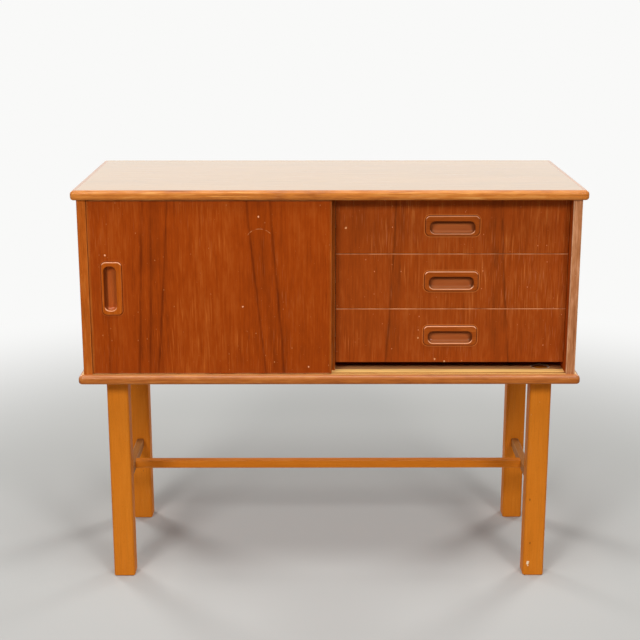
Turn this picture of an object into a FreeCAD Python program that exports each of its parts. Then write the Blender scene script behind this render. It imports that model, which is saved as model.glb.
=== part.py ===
# Hall cabinet: a teak case with one sliding door and three drawers, on a leg frame with stretchers.
# Millimetres. X runs to the right, Y to the back and Z up; the origin is on the floor, under the middle.
import FreeCAD
import Part
import Sketcher
import operator
import os
from functools import partial
from types import SimpleNamespace

SIZES = {
    # Whole object
    "overall_width": 900,
    "overall_depth": 390,
    "overall_height": 740,
    "leg_height": 390,
    # Top and bottom boards with their solid edges
    "top_thick": 17,
    "bottom_thick": 17,
    "top_upper_round": 6.5,
    "top_lower_round": 5.5,
    "bottom_upper_round": 8,
    "bottom_lower_round": 4.5,
    "lipping_width": 10,
    "front_rail_width": 46,
    # Sides, divider and back
    "side_inset": 9.5,
    "side_thick": 16,
    "side_setback": 8,
    "side_lipping_depth": 6,
    "side_lipping_round": 1.5,
    "divider_thick": 16,
    "divider_centre": 2.5,
    "divider_lead": 2,
    "back_thick": 4,
    "rebate_depth": 7,
    "rebate_width": 8,
    # Dowels and screws
    "dowel_radius": 4,
    "dowel_board_depth": 10,
    "dowel_side_depth": 14,
    "dowel_inset": 50,
    "dowel_fit": 0.05,
    "screw_shank_radius": 1.8,
    "screw_head_radius": 3.4,
    "screw_head_height": 2.2,
    "screw_bite": 10,
    "screw_fit": 0.05,
    "back_screw_inset": 60,
    # Shelf on pins
    "shelf_thick": 16,
    "shelf_level": 150,
    "shelf_front_gap": 12,
    "shelf_back_gap": 2,
    "shelf_side_gap": 1,
    "pin_radius": 2.5,
    "pin_seat": 10,
    "pin_reach": 8,
    "pin_pad_width": 10,
    "pin_pad_height": 6,
    "pin_inset": 45,
    "pin_pitch": 32,
    "pin_fit": 0.05,
    # Sliding door
    "door_thick": 16,
    "door_recess": 1,
    "door_lap": 9.5,
    "door_side_gap": 0.5,
    "door_foot_gap": 1.5,
    "door_head_gap": 1,
    "door_lipping_width": 4,
    "groove_width": 7,
    "foot_groove_depth": 6,
    "head_groove_depth": 10,
    "glide_clearance": 0.3,
    "glide_length": 30,
    "glide_inset": 45,
    "glide_seat": 12,
    "guide_reach": 8,
    "guide_seat": 8,
    # Recessed pulls
    "recess_length": 80,
    "recess_height": 22,
    "recess_depth": 13,
    "recess_end_flat": 1.5,
    "recess_floor_round": 5,
    "recess_mouth_round": 1.6,
    "end_rim": 7.8,
    "lower_rim": 4,
    "upper_rim": 10,
    "pull_proud": 3,
    "pull_corner": 8.5,
    "pull_edge_round": 2,
    "pull_flange": 2,
    "plug_wall": 2.5,
    "plug_corner": 5,
    "plug_fit": 0.15,
    "lip_thick": 6,
    "lip_undercut": 5,
    "lip_undercut_inset": 10,
    "door_pull_inset": 40,
    # Drawers and their runners
    "drawer_setback": 28,
    "drawer_gap": 0.8,
    "drawer_foot_gap": 15,
    "drawer_front_thick": 16,
    "drawer_side_thick": 12,
    "drawer_back_thick": 10,
    "drawer_bottom_thick": 4,
    "box_drop": 8,
    "box_head": 12,
    "box_back_gap": 18,
    "side_tongue": 6,
    "back_tongue": 4,
    "back_setback": 8,
    "bottom_groove": 5,
    "bottom_lift": 6,
    "runner_gap": 6.5,
    "runner_height": 10,
    "runner_reach": 5.5,
    "runner_clearance": 0.3,
    "runner_back_gap": 39,
    "runner_screw_inset": 40,
    "runner_counterbore": 3,
    # Leg frame
    "leg_size": 39,
    "leg_inset_ends": 44,
    "leg_inset_front": 39,
    "leg_inset_back": 33,
    "leg_round": 5.5,
    "foot_round": 2,
    "stretcher_top": 175,
    "side_stretcher_width": 14,
    "side_stretcher_height": 19,
    "long_stretcher_depth": 17,
    "long_stretcher_height": 16,
    "stretcher_round": 2.5,
    "side_tenon_shoulder": 3,
    "side_tenon_length": 16,
    "long_tenon_length": 8,
    "post_tenon_radius": 15.5,
    "post_tenon_sink": 2.5,
    "post_tenon_fit": 0.05,
}
DRAWERS = ("lower", "middle", "upper")
HANDS = {"left": -1, "right": 1}
SHEET = "Sizes"
QUARTER_TURN = 90
TOLERANCE = 1e-6

doc = FreeCAD.newDocument("hall_cabinet")
sheet = doc.addObject("Spreadsheet::Sheet", SHEET)
for row, (alias, number) in enumerate(SIZES.items(), start=1):
    sheet.set(f"A{row}", alias)
    sheet.set(f"B{row}", str(number))
    sheet.setAlias(f"B{row}", alias)
doc.recompute()


def combined(sign, work):
    """An operator of Dim: joins the two expressions and works out the value."""

    def method(self, other):
        other = Dim.of(other)
        return Dim(f"({self.text} {sign} {other.text})", work(self.value, other.value))

    return method


class Dim:
    """A size as an expression over the sheet's cells, with the value that it has now."""

    def __init__(self, text, value):
        self.text = text
        self.value = value

    @staticmethod
    def of(item):
        return item if isinstance(item, Dim) else Dim(str(item), item)

    __add__ = combined("+", operator.add)
    __sub__ = combined("-", operator.sub)
    __mul__ = combined("*", operator.mul)
    __truediv__ = combined("/", operator.truediv)

    def __neg__(self):
        return self * -1


size = SimpleNamespace(**{name: Dim(f"{SHEET}.{name}", value) for name, value in SIZES.items()})
nodes = []


# Helpers that make bound solids


def place(item, x, y, z):
    """Binds an object's position to three sizes."""
    for axis, value in zip("xyz", (x, y, z)):
        item.setExpression(f"Placement.Base.{axis}", Dim.of(value).text)


def box(name, x, y, z):
    """A block between low and high limits along each axis."""
    item = doc.addObject("Part::Box", name)
    for side, (low, high) in zip(("Length", "Width", "Height"), (x, y, z)):
        item.setExpression(side, (Dim.of(high) - low).text)
    place(item, x[0], y[0], z[0])
    return item


# The turn that takes +Z to each direction, which is named by its sign and axis
TURNS = {
    "+x": FreeCAD.Rotation(FreeCAD.Vector(0, 1, 0), QUARTER_TURN),
    "-x": FreeCAD.Rotation(FreeCAD.Vector(0, 1, 0), -QUARTER_TURN),
    "-y": FreeCAD.Rotation(FreeCAD.Vector(1, 0, 0), QUARTER_TURN),
    "+z": FreeCAD.Rotation(),
}


def along(point, direction, distance):
    """The point moved by a distance in a direction."""
    sign, axis = direction
    step = Dim.of(distance)
    moved = dict(zip("xyz", point))
    moved[axis] = Dim.of(moved[axis]) + (step if sign == "+" else -step)
    return list(moved.values())


def rod(name, direction, radius, start, length):
    """A cylinder that runs from a start point in a direction."""
    item = doc.addObject("Part::Cylinder", name)
    item.Placement = FreeCAD.Placement(FreeCAD.Vector(), TURNS[direction])
    item.setExpression("Radius", Dim.of(radius).text)
    item.setExpression("Height", Dim.of(length).text)
    place(item, *start)
    return item


def fuse(name, pieces):
    item = doc.addObject("Part::MultiFuse", name)
    item.Shapes = pieces
    return item


def cut(name, base, tools):
    item = doc.addObject("Part::Cut", name)
    item.Base = base
    item.Tool = tools[0] if len(tools) == 1 else fuse(f"{name}_cuts", tools)
    return item


def group(name, pieces):
    item = doc.addObject("Part::Compound", name)
    item.Links = pieces
    return item


def node(label, item, solids=1):
    """Registers a sub-part under its label, with the number of solids that it should have."""
    item.Label = label
    nodes.append((label, item, solids))
    return item


def rectangle(body, plane, across, up, lift=None):
    """A rectangle sketch on one of a body's planes, with its limits bound to sizes."""
    sketch = body.newObject("Sketcher::SketchObject", f"{body.Name}_outline")
    support = next(item for item in body.Origin.OriginFeatures if item.Role == plane)
    sketch.AttachmentSupport = [(support, "")]
    sketch.MapMode = "FlatFace"
    if lift is not None:
        sketch.setExpression("AttachmentOffset.Base.z", Dim.of(lift).text)
    (left, right), (low, high) = [[Dim.of(limit) for limit in pair] for pair in (across, up)]
    ring = [(left, low), (right, low), (right, high), (left, high)]
    points = [FreeCAD.Vector(u.value, v.value, 0) for u, v in ring]
    for index, point in enumerate(points):
        sketch.addGeometry(Part.LineSegment(point, points[(index + 1) % len(points)]))
    for index in range(len(points)):
        sketch.addConstraint(Sketcher.Constraint("Coincident", index, 2, (index + 1) % len(points), 1))
        kind = "Vertical" if index % 2 else "Horizontal"
        sketch.addConstraint(Sketcher.Constraint(kind, index))
    if left.value == 0 and low.value == 0:
        sketch.addConstraint(Sketcher.Constraint("Coincident", 0, 1, -1, 1))
    else:
        distance(sketch, "left", left, "DistanceX", (-1, 1, 0, 1))
        distance(sketch, "low", low, "DistanceY", (-1, 1, 0, 1))
    distance(sketch, "across", right - left, "DistanceX", (0, 1, 0, 2))
    distance(sketch, "up", high - low, "DistanceY", (1, 1, 1, 2))
    return sketch


def distance(sketch, name, value, kind, ends):
    """A named distance in a sketch, bound to a size."""
    index = sketch.addConstraint(Sketcher.Constraint(kind, *ends, value.value))
    sketch.renameConstraint(index, name)
    sketch.setExpression(f"Constraints.{name}", value.text)


def pad(body, sketch, length, downward=False):
    item = body.newObject("PartDesign::Pad", f"{body.Name}_pad")
    item.Profile = sketch
    item.Reversed = downward
    item.setExpression("Length", length.text)


def pocket(body, sketch, length):
    item = body.newObject("PartDesign::Pocket", f"{body.Name}_pocket")
    item.Profile = sketch
    item.setExpression("Length", length.text)


def round_edges(body, radius, wanted):
    """Rounds the edges of a body's last feature that a test picks out."""
    doc.recompute()
    last = body.Tip
    picked = [f"Edge{index}" for index, edge in enumerate(last.Shape.Edges, start=1) if wanted(edge)]
    item = body.newObject("PartDesign::Fillet", f"{body.Name}_round")
    item.Base = (last, picked)
    item.setExpression("Radius", radius.text)


def spans(edge, axis, low, high):
    """Whether an edge's extent along an axis is just from low to high."""
    bounds = edge.BoundBox
    found = ((bounds.XMin, bounds.XMax), (bounds.YMin, bounds.YMax), (bounds.ZMin, bounds.ZMax))[axis]
    return abs(found[0] - low) < TOLERANCE and abs(found[1] - high) < TOLERANCE


FACES = {"left": (0, 0), "right": (0, 1), "front": (1, 0), "back": (1, 1), "bottom": (2, 0), "top": (2, 1)}


def rounded_block(name, x, y, z, rounds):
    """A padded rectangle with rounded edges; each round is a radius and the face names of its edges."""
    body = doc.addObject("PartDesign::Body", name)
    lengths = [Dim.of(high) - low for low, high in (x, y, z)]
    pad(body, rectangle(body, "XY_Plane", (0, lengths[0]), (0, lengths[1])), lengths[2])
    place(body, x[0], y[0], z[0])

    def lies_on(edge, face):
        axis, end = FACES[face]
        level = lengths[axis].value * end
        return spans(edge, axis, level, level)

    for radius, edges in rounds:
        round_edges(body, radius, lambda edge: any(all(lies_on(edge, f) for f in pair) for pair in edges))
    return body


def four_edges(first, second):
    """The four edges where two opposite faces meet two others."""
    return [(one, other) for one in first for other in second]


def screw(name, direction, seat, length):
    """A flat-head screw whose head bears on the seat."""
    head_start = along(seat, direction, -size.screw_head_height)
    head = rod(f"{name}_head", direction, size.screw_head_radius, head_start, size.screw_head_height)
    shank = rod(f"{name}_shank", direction, size.screw_shank_radius, seat, length)
    return fuse(name, [head, shank])


def screw_hole(name, direction, seat, length, counterbore=None):
    """The hole that clears a screw, with a wider bore behind its seat where the head is sunk."""
    gap = size.screw_fit
    hole = rod(f"{name}_hole", direction, size.screw_shank_radius + gap, seat, length + gap)
    if counterbore is None:
        return hole
    mouth = along(seat, direction, -counterbore)
    bore = rod(f"{name}_bore", direction, size.screw_head_radius + gap, mouth, counterbore)
    return fuse(f"{name}_clearance", [hole, bore])


def centred(middle, length):
    return (middle - length / 2, middle + length / 2)


def ordered(one, other):
    return sorted((Dim.of(one), Dim.of(other)), key=lambda limit: limit.value)


def first_middle_last(first, last):
    return (first, (first + last) / 2, last)


# Planes that the pieces share

end_x = size.overall_width / 2
front_y = -size.overall_depth / 2
back_y = size.overall_depth / 2
under_top = size.overall_height - size.top_thick
case_floor = size.leg_height + size.bottom_thick
side_out = end_x - size.side_inset
side_in = side_out - size.side_thick
side_mid = side_out - size.side_thick / 2
side_front = front_y + size.side_setback
panel_front = back_y - size.rebate_depth
panel_rear = panel_front + size.back_thick
divider_left = size.divider_centre - size.divider_thick / 2
divider_right = size.divider_centre + size.divider_thick / 2
drawer_face = side_front + size.drawer_setback
divider_front = drawer_face - size.divider_lead
case_height = (case_floor, under_top)


# Fasteners, leg tenons and the holes that they need


def dowel(name, x, y, foot, clearance):
    """A dowel standing in the top of the bottom board or hanging from the top board."""
    grip = size.dowel_board_depth + size.dowel_side_depth
    start = Dim.of(foot) - clearance
    return rod(name, "+z", size.dowel_radius + clearance, (x, y, start), grip + clearance * 2)


dowel_feet = {"bottom": case_floor - size.dowel_board_depth, "top": under_top - size.dowel_side_depth}
dowel_rows = first_middle_last(side_front + size.dowel_inset, panel_front - size.dowel_inset)
dowel_lines = {"left": -side_mid, "centre": size.divider_centre, "right": side_mid}


def dowels(board_ends, lines, clearance):
    """Dowels, or their holes, at the named ends of the named upright boards."""
    made = []
    for end in board_ends:
        for line in lines:
            for y in dowel_rows:
                made.append(dowel(f"dowel_{end}_{line}", dowel_lines[line], y, dowel_feet[end], clearance))
    return made


def dowel_holes(board_ends, lines):
    return dowels(board_ends, lines, size.dowel_fit)


back_screw_length = size.back_thick + size.screw_bite
edge_line = side_in + size.rebate_width / 2
top_line = under_top + size.rebate_width / 2
bottom_line = case_floor - size.rebate_width / 2
upright_screws = (case_floor + size.back_screw_inset, under_top - size.back_screw_inset)
level_screws = first_middle_last(-side_in + size.back_screw_inset, side_in - size.back_screw_inset)
back_screw_places = {
    "left": [(-edge_line, z) for z in upright_screws],
    "right": [(edge_line, z) for z in upright_screws],
    "centre": [(size.divider_centre, z) for z in upright_screws],
    "top": [(x, top_line) for x in level_screws],
    "bottom": [(x, bottom_line) for x in level_screws],
}


def back_screws(boards, make):
    """The back panel's screws into the named boards, or their holes, as the maker gives them."""
    return [
        make(f"back_screw_{board}", "-y", (x, panel_rear, z), back_screw_length)
        for board in boards
        for x, z in back_screw_places[board]
    ]


leg_mid = end_x - size.leg_inset_ends - size.leg_size / 2
leg_front = {"front": front_y + size.leg_inset_front, "rear": back_y - size.leg_inset_back - size.leg_size}
leg_back = {row: y + size.leg_size for row, y in leg_front.items()}
frame_middle = (leg_back["front"] + leg_front["rear"]) / 2


def post_tenon(name, hand, row_name, length, clearance):
    """The round tenon on top of a leg, or the hole for it."""
    centre = (leg_mid * HANDS[hand], (leg_front[row_name] + leg_back[row_name]) / 2, size.leg_height)
    return rod(name, "+z", size.post_tenon_radius + clearance, centre, length)


# Top and bottom boards

inner_end = end_x - size.lipping_width
rebate_x = (-side_in - size.rebate_width, side_in + size.rebate_width)
rebate_y = (panel_front, back_y)
door_front = side_front + size.door_recess
door_mid = door_front + size.door_thick / 2
groove_y = (door_mid - size.groove_width / 2, door_mid + size.groove_width / 2)
groove_x = (-side_in, side_in)


def edged_board(board, front_piece, level, front_width, edge_rounds, cuts):
    """A board whose front and ends carry solid strips; its cuts go through any piece they meet.

    The edge rounds are those of the strips' upper and lower edges.
    """
    upper, lower = edge_rounds
    tools = [fuse(f"{board}_cuts", cuts)]
    strip_back = front_y + front_width
    panel = box(f"{board}_blank", (-inner_end, inner_end), (strip_back, back_y), level)
    node(f"{board}_panel", cut(f"{board}_panel", panel, tools))
    sides = ("left", "right", "front")
    corners = [("front", "left"), ("front", "right")]
    rounds = [(upper, four_edges(sides, ("top",)) + corners), (lower, four_edges(sides, ("bottom",)))]
    strip = rounded_block(f"{board}_front_strip", (-end_x, end_x), (front_y, strip_back), level, rounds)
    node(front_piece, cut(front_piece, strip, tools))
    for hand, sign in HANDS.items():
        limits = ordered(end_x * sign, inner_end * sign)
        rounds = [(upper, [(hand, "top")]), (lower, [(hand, "bottom")])]
        strip = rounded_block(f"{board}_{hand}_strip", limits, (strip_back, back_y), level, rounds)
        label = f"{board}_{hand}_lipping"
        node(label, cut(label, strip, tools))


every_line = ("left", "centre", "right")
top_cuts = [
    box("head_groove", groove_x, groove_y, (under_top, under_top + size.head_groove_depth)),
    box("top_rebate", rebate_x, rebate_y, (under_top, under_top + size.rebate_width)),
]
top_cuts += dowel_holes(("top",), every_line) + back_screws(("top",), screw_hole)
top_level = (under_top, size.overall_height)
top_rounds = (size.top_upper_round, size.top_lower_round)
edged_board("top", "top_front_lipping", top_level, size.lipping_width, top_rounds, top_cuts)

bottom_cuts = [
    box("foot_groove", groove_x, groove_y, (case_floor - size.foot_groove_depth, case_floor)),
    box("bottom_rebate", rebate_x, rebate_y, (case_floor - size.rebate_width, case_floor)),
]
bottom_cuts += dowel_holes(("bottom",), every_line) + back_screws(("bottom",), screw_hole)
bottom_cuts += [
    post_tenon("post_hole", hand, row_name, size.bottom_thick, size.post_tenon_fit)
    for hand in HANDS
    for row_name in leg_front
]
bottom_level = (size.leg_height, case_floor)
bottom_rounds = (size.bottom_upper_round, size.bottom_lower_round)
edged_board("bottom", "bottom_front_rail", bottom_level, size.front_rail_width, bottom_rounds, bottom_cuts)


# Shelf pins, runners and their screws, which the uprights are bored for

shelf_front = door_front + size.door_thick + size.shelf_front_gap
shelf_back = panel_front - size.shelf_back_gap
shelf_low = case_floor + size.shelf_level
pin_rows = (shelf_front + size.pin_inset, shelf_back - size.pin_inset)
pin_walls = {"left": (-side_in, "-x", "+x"), "right": (divider_left, "+x", "-x")}
pin_height = shelf_low - size.pin_pad_height / 2


def pin_holes(wall):
    """Three rows of shelf pin holes in one wall of the left compartment."""
    x, inward, _ = pin_walls[wall]
    radius = size.pin_radius + size.pin_fit
    levels = [pin_height + size.pin_pitch * step for step in (-1, 0, 1)]
    depth = size.pin_seat + size.pin_fit
    return [rod("pin_hole", inward, radius, (x, y, z), depth) for y in pin_rows for z in levels]


def shelf_pin(wall, y):
    """A pin with a flat pad for the shelf to lie on."""
    x, inward, outward = pin_walls[wall]
    stem = rod("pin_stem", inward, size.pin_radius, (x, y, pin_height), size.pin_seat)
    edge = along((x, y, pin_height), outward, size.pin_reach)[0]
    pad_z = (shelf_low - size.pin_pad_height, shelf_low)
    pad_block = box("pin_pad", ordered(x, edge), centred(y, size.pin_pad_width), pad_z)
    return fuse("shelf_pin", [stem, pad_block])


front_height = (under_top - case_floor - size.drawer_foot_gap - size.drawer_gap * len(DRAWERS)) / len(DRAWERS)
front_back = drawer_face + size.drawer_front_thick
drawer_low = {
    name: case_floor + size.drawer_foot_gap + (front_height + size.drawer_gap) * index
    for index, name in enumerate(DRAWERS)
}
box_height = front_height - size.box_drop - size.box_head
runner_mid = {name: low + size.box_drop + box_height / 2 for name, low in drawer_low.items()}
runner_y = (front_back + size.runner_clearance, panel_front - size.runner_back_gap)
runner_width = size.runner_gap + size.runner_reach
runner_screw_rows = (runner_y[0] + size.runner_screw_inset, runner_y[1] - size.runner_screw_inset)
runner_walls = {"left": (divider_right, "-x", 1), "right": (side_in, "+x", -1)}


def runner_screws(hand, make):
    """The screws that hold one side's runners to the case, or their holes."""
    wall, direction, inward = runner_walls[hand]
    seat_x = wall + (runner_width - size.runner_counterbore) * inward
    length = runner_width - size.runner_counterbore + size.screw_bite
    return [
        make(f"runner_screw_{hand}", direction, (seat_x, y, runner_mid[name]), length)
        for name in DRAWERS
        for y in runner_screw_rows
    ]


# Sides, divider and back


def upright(label, x, front, back, cuts):
    """An upright board with a solid strip on its front edge."""
    strip_back = front + size.side_lipping_depth
    blank = box(f"{label}_blank", x, (strip_back, back), case_height)
    node(label, cut(label, blank, cuts))
    rounds = [(size.side_lipping_round, four_edges(("front",), ("left", "right")))]
    node(f"{label}_lipping", rounded_block(f"{label}_strip", x, (front, strip_back), case_height, rounds))


both_ends = ("top", "bottom")
left_rebate = box("left_rebate", (-side_in - size.rebate_width, -side_in), rebate_y, case_height)
left_cuts = [left_rebate] + dowel_holes(both_ends, ("left",)) + back_screws(("left",), screw_hole)
upright("left_side", (-side_out, -side_in), side_front, back_y, left_cuts + pin_holes("left"))

right_rebate = box("right_rebate", (side_in, side_in + size.rebate_width), rebate_y, case_height)
right_cuts = [right_rebate] + dowel_holes(both_ends, ("right",)) + back_screws(("right",), screw_hole)
right_cuts += runner_screws("right", screw_hole)
upright("right_side", (side_in, side_out), side_front, back_y, right_cuts)

divider_cuts = dowel_holes(both_ends, ("centre",)) + back_screws(("centre",), screw_hole)
divider_cuts += pin_holes("right") + runner_screws("left", screw_hole)
upright("centre_divider", (divider_left, divider_right), divider_front, panel_front, divider_cuts)

back_blank = box(
    "back_blank",
    rebate_x,
    (panel_front, panel_rear),
    (case_floor - size.rebate_width, under_top + size.rebate_width),
)
node("back_panel", cut("back_panel", back_blank, back_screws(back_screw_places, screw_hole)))
back_fasteners = back_screws(back_screw_places, screw)
node("back_panel_screws", group("back_panel_screws", back_fasteners), len(back_fasteners))
pegs = dowels(both_ends, every_line, Dim.of(0))
node("carcass_dowels", group("carcass_dowels", pegs), len(pegs))


# Shelf behind the door

shelf_x = (-side_in + size.shelf_side_gap, divider_left - size.shelf_side_gap)
node("shelf", box("shelf", shelf_x, (shelf_front, shelf_back), (shelf_low, shelf_low + size.shelf_thick)))
pins = [shelf_pin(wall, y) for wall in pin_walls for y in pin_rows]
node("shelf_pins", group("shelf_pins", pins), len(pins))


# Recessed pulls

pull_length = size.recess_length + size.end_rim * 2
pull_height = size.lower_rim + size.recess_height + size.upper_rim
plug_depth = size.recess_depth - size.pull_proud + size.plug_wall
recess_corner = size.recess_height / 2 - size.recess_end_flat
PULL_TURNS = {
    "level": FreeCAD.Rotation(FreeCAD.Vector(1, 0, 0), QUARTER_TURN),
    "upright": FreeCAD.Rotation(FreeCAD.Vector(0, 1, 0), QUARTER_TURN)
    * FreeCAD.Rotation(FreeCAD.Vector(1, 0, 0), QUARTER_TURN),
}


def recessed_pull(name, turn, x, y, z):
    """A pull with its flange on a front and its plug inside it. Its first corner goes to x, y, z.

    Along its own axes X is its length, Y runs to its wide gripping lip and Z comes out of the front.
    """
    body = doc.addObject("PartDesign::Body", name)
    proud = size.pull_proud.value
    plug_end = -plug_depth.value
    floor_level = proud - size.recess_depth.value
    plug_u = (size.pull_flange, pull_length - size.pull_flange)
    plug_v = (size.pull_flange, pull_height - size.pull_flange)
    pad(body, rectangle(body, "XY_Plane", plug_u, plug_v), plug_depth, downward=True)
    round_edges(body, size.plug_corner, lambda edge: spans(edge, 2, plug_end, 0))
    pad(body, rectangle(body, "XY_Plane", (0, pull_length), (0, pull_height)), size.pull_proud)
    round_edges(body, size.pull_corner, lambda edge: spans(edge, 2, 0, proud))
    round_edges(body, size.pull_edge_round, lambda edge: spans(edge, 2, proud, proud))

    recess_start = size.end_rim
    recess_end = recess_start + size.recess_length
    recess_top = size.lower_rim + size.recess_height
    mouth = rectangle(
        body, "XY_Plane", (recess_start, recess_end), (size.lower_rim, recess_top), lift=size.pull_proud
    )
    pocket(body, mouth, size.recess_depth)
    round_edges(body, recess_corner, lambda edge: spans(edge, 2, floor_level, proud))
    round_edges(body, size.recess_floor_round, lambda edge: spans(edge, 2, floor_level, floor_level))

    def on_mouth(edge):
        inside = recess_start.value - TOLERANCE < edge.BoundBox.XMin
        inside = inside and edge.BoundBox.XMax < recess_end.value + TOLERANCE
        inside = inside and size.lower_rim.value - TOLERANCE < edge.BoundBox.YMin
        inside = inside and edge.BoundBox.YMax < recess_top.value + TOLERANCE
        return inside and spans(edge, 2, proud, proud)

    round_edges(body, size.recess_mouth_round, on_mouth)
    hook_v = (recess_top - size.recess_floor_round, recess_top + size.lip_undercut)
    hook_n = (size.pull_proud - size.recess_depth, size.pull_proud - size.lip_thick)
    hook = rectangle(body, "YZ_Plane", hook_v, hook_n, lift=recess_end - size.lip_undercut_inset)
    pocket(body, hook, size.recess_length - size.lip_undercut_inset * 2)
    body.Placement = FreeCAD.Placement(FreeCAD.Vector(), PULL_TURNS[turn])
    place(body, x, y, z)
    return body


def pull_pocket(name, x, face, z):
    """The rounded hole that a pull's plug fits, inset from the limits of its flange."""
    gap = size.plug_fit
    inset = size.pull_flange - gap
    limits_x = (x[0] + inset, x[1] - inset)
    limits_z = (z[0] + inset, z[1] - inset)
    corners = four_edges(("left", "right"), ("top", "bottom"))
    depth = (face, face + plug_depth + gap)
    return rounded_block(name, limits_x, depth, limits_z, [(size.plug_corner + gap, corners)])


# Sliding door

door_left = -side_in + size.door_side_gap
door_right = divider_left + size.door_lap
door_y = (door_front, door_front + size.door_thick)
door_z = (case_floor + size.door_foot_gap, under_top - size.door_head_gap)
tongue_y = (groove_y[0] + size.glide_clearance, groove_y[1] - size.glide_clearance)
door_panel_x = (door_left + size.door_lipping_width, door_right - size.door_lipping_width)
guide_z = (door_z[1] - size.guide_seat, door_z[1] + size.guide_reach)
glide_z = (case_floor - size.foot_groove_depth + size.glide_clearance, door_z[0] + size.glide_seat)
glide_places = [
    (door_left + size.glide_inset, door_left + size.glide_inset + size.glide_length),
    (door_right - size.glide_inset - size.glide_length, door_right - size.glide_inset),
]
door_pull_x = centred(door_left + size.door_pull_inset, pull_height)
door_pull_z = centred((door_z[0] + door_z[1]) / 2, pull_length)

door_cuts = [
    pull_pocket("door_pull_hole", door_pull_x, door_front, door_pull_z),
    box("guide_slot", door_panel_x, tongue_y, (guide_z[0], door_z[1])),
]
door_cuts += [box("glide_slot", x, tongue_y, (door_z[0], glide_z[1])) for x in glide_places]
node("door_panel", cut("door_panel", box("door_blank", door_panel_x, door_y, door_z), door_cuts))
door_edges = {"left": (door_left, door_panel_x[0]), "right": (door_panel_x[1], door_right)}
for hand, limits in door_edges.items():
    rounds = [(size.side_lipping_round, [("front", hand)])]
    node(f"door_{hand}_lipping", rounded_block(f"door_{hand}_strip", limits, door_y, door_z, rounds))
node("door_head_guide", box("door_head_guide", door_panel_x, tongue_y, guide_z))
glides = [box("door_glide", x, tongue_y, glide_z) for x in glide_places]
node("door_glides", group("door_glides", glides), len(glides))
node("door_pull", recessed_pull("door_pull", "upright", door_pull_x[0], door_front, door_pull_z[1]))


# Drawers

front_x = (divider_right + size.drawer_gap, side_in - size.drawer_gap)
box_x = (divider_right + size.runner_gap, side_in - size.runner_gap)
box_back = panel_front - size.box_back_gap
drawer_side_x = {
    "left": (box_x[0], box_x[0] + size.drawer_side_thick),
    "right": (box_x[1] - size.drawer_side_thick, box_x[1]),
}
drawer_side_y = (front_back - size.side_tongue, box_back)
groove_reach = size.runner_reach + size.runner_clearance
runner_groove_x = {"left": (box_x[0], box_x[0] + groove_reach), "right": (box_x[1] - groove_reach, box_x[1])}
bottom_x = (
    drawer_side_x["left"][1] - size.bottom_groove,
    drawer_side_x["right"][0] + size.bottom_groove,
)
back_x = (drawer_side_x["left"][1] - size.back_tongue, drawer_side_x["right"][0] + size.back_tongue)
drawer_back_y = (box_back - size.back_setback - size.drawer_back_thick, box_back - size.back_setback)
bottom_y = (front_back - size.bottom_groove, drawer_back_y[1])
pull_x = centred((front_x[0] + front_x[1]) / 2, pull_length)

for drawer, low in drawer_low.items():
    front_z = (low, low + front_height)
    box_z = (low + size.box_drop, low + size.box_drop + box_height)
    bottom_z = (box_z[0] + size.bottom_lift, box_z[0] + size.bottom_lift + size.drawer_bottom_thick)
    back_z = (bottom_z[1], box_z[1])
    pull_z = centred((front_z[0] + front_z[1]) / 2, pull_height)
    groove_z = centred(runner_mid[drawer], size.runner_height + size.runner_clearance * 2)
    label = f"{drawer}_drawer"

    front_cuts = [
        pull_pocket(f"{label}_pull_hole", pull_x, drawer_face, pull_z),
        box(f"{label}_front_groove", bottom_x, (bottom_y[0], front_back), bottom_z),
    ]
    front_cuts += [
        box(f"{label}_housing", x, (drawer_side_y[0], front_back), box_z) for x in drawer_side_x.values()
    ]
    front_blank = box(f"{label}_front_blank", front_x, (drawer_face, front_back), front_z)
    node(f"{label}_front", cut(f"{label}_front", front_blank, front_cuts))
    node(f"{label}_pull", recessed_pull(f"{label}_pull", "level", pull_x[0], drawer_face, pull_z[0]))
    for hand, x in drawer_side_x.items():
        side_cuts = [
            box(f"{label}_runner_groove", runner_groove_x[hand], (front_back, box_back), groove_z),
            box(f"{label}_bottom_groove", bottom_x, drawer_side_y, bottom_z),
            box(f"{label}_back_housing", back_x, drawer_back_y, back_z),
        ]
        side_blank = box(f"{label}_{hand}_blank", x, drawer_side_y, box_z)
        node(f"{label}_{hand}_side", cut(f"{label}_{hand}_side", side_blank, side_cuts))
    node(f"{label}_back", box(f"{label}_back", back_x, drawer_back_y, back_z))
    node(f"{label}_bottom", box(f"{label}_bottom", bottom_x, bottom_y, bottom_z))

runner_fasteners = []
for hand, (wall, _, inward) in runner_walls.items():
    limits = ordered(wall, wall + runner_width * inward)
    strips = [
        box(f"{hand}_runner", limits, runner_y, centred(runner_mid[name], size.runner_height))
        for name in DRAWERS
    ]
    holes = runner_screws(hand, partial(screw_hole, counterbore=size.runner_counterbore))
    tools = [fuse(f"{hand}_runner_cuts", holes)]
    bored = [cut(f"{hand}_runner_bored", strip, tools) for strip in strips]
    node(f"{hand}_runners", group(f"{hand}_runners", bored), len(bored))
    runner_fasteners += runner_screws(hand, screw)
node("runner_screws", group("runner_screws", runner_fasteners), len(runner_fasteners))


# Leg frame

side_stretcher_z = (size.stretcher_top - size.side_stretcher_height, size.stretcher_top)
long_stretcher_z = (size.stretcher_top - size.long_stretcher_height, size.stretcher_top)
post_tenon_length = size.bottom_thick - size.post_tenon_sink
between_legs = (leg_back["front"], leg_front["rear"])
long_edges = four_edges(("left", "right"), ("top", "bottom"))


def tenon_limits(limits, shoulder):
    return (limits[0] + shoulder, limits[1] - shoulder)


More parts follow.
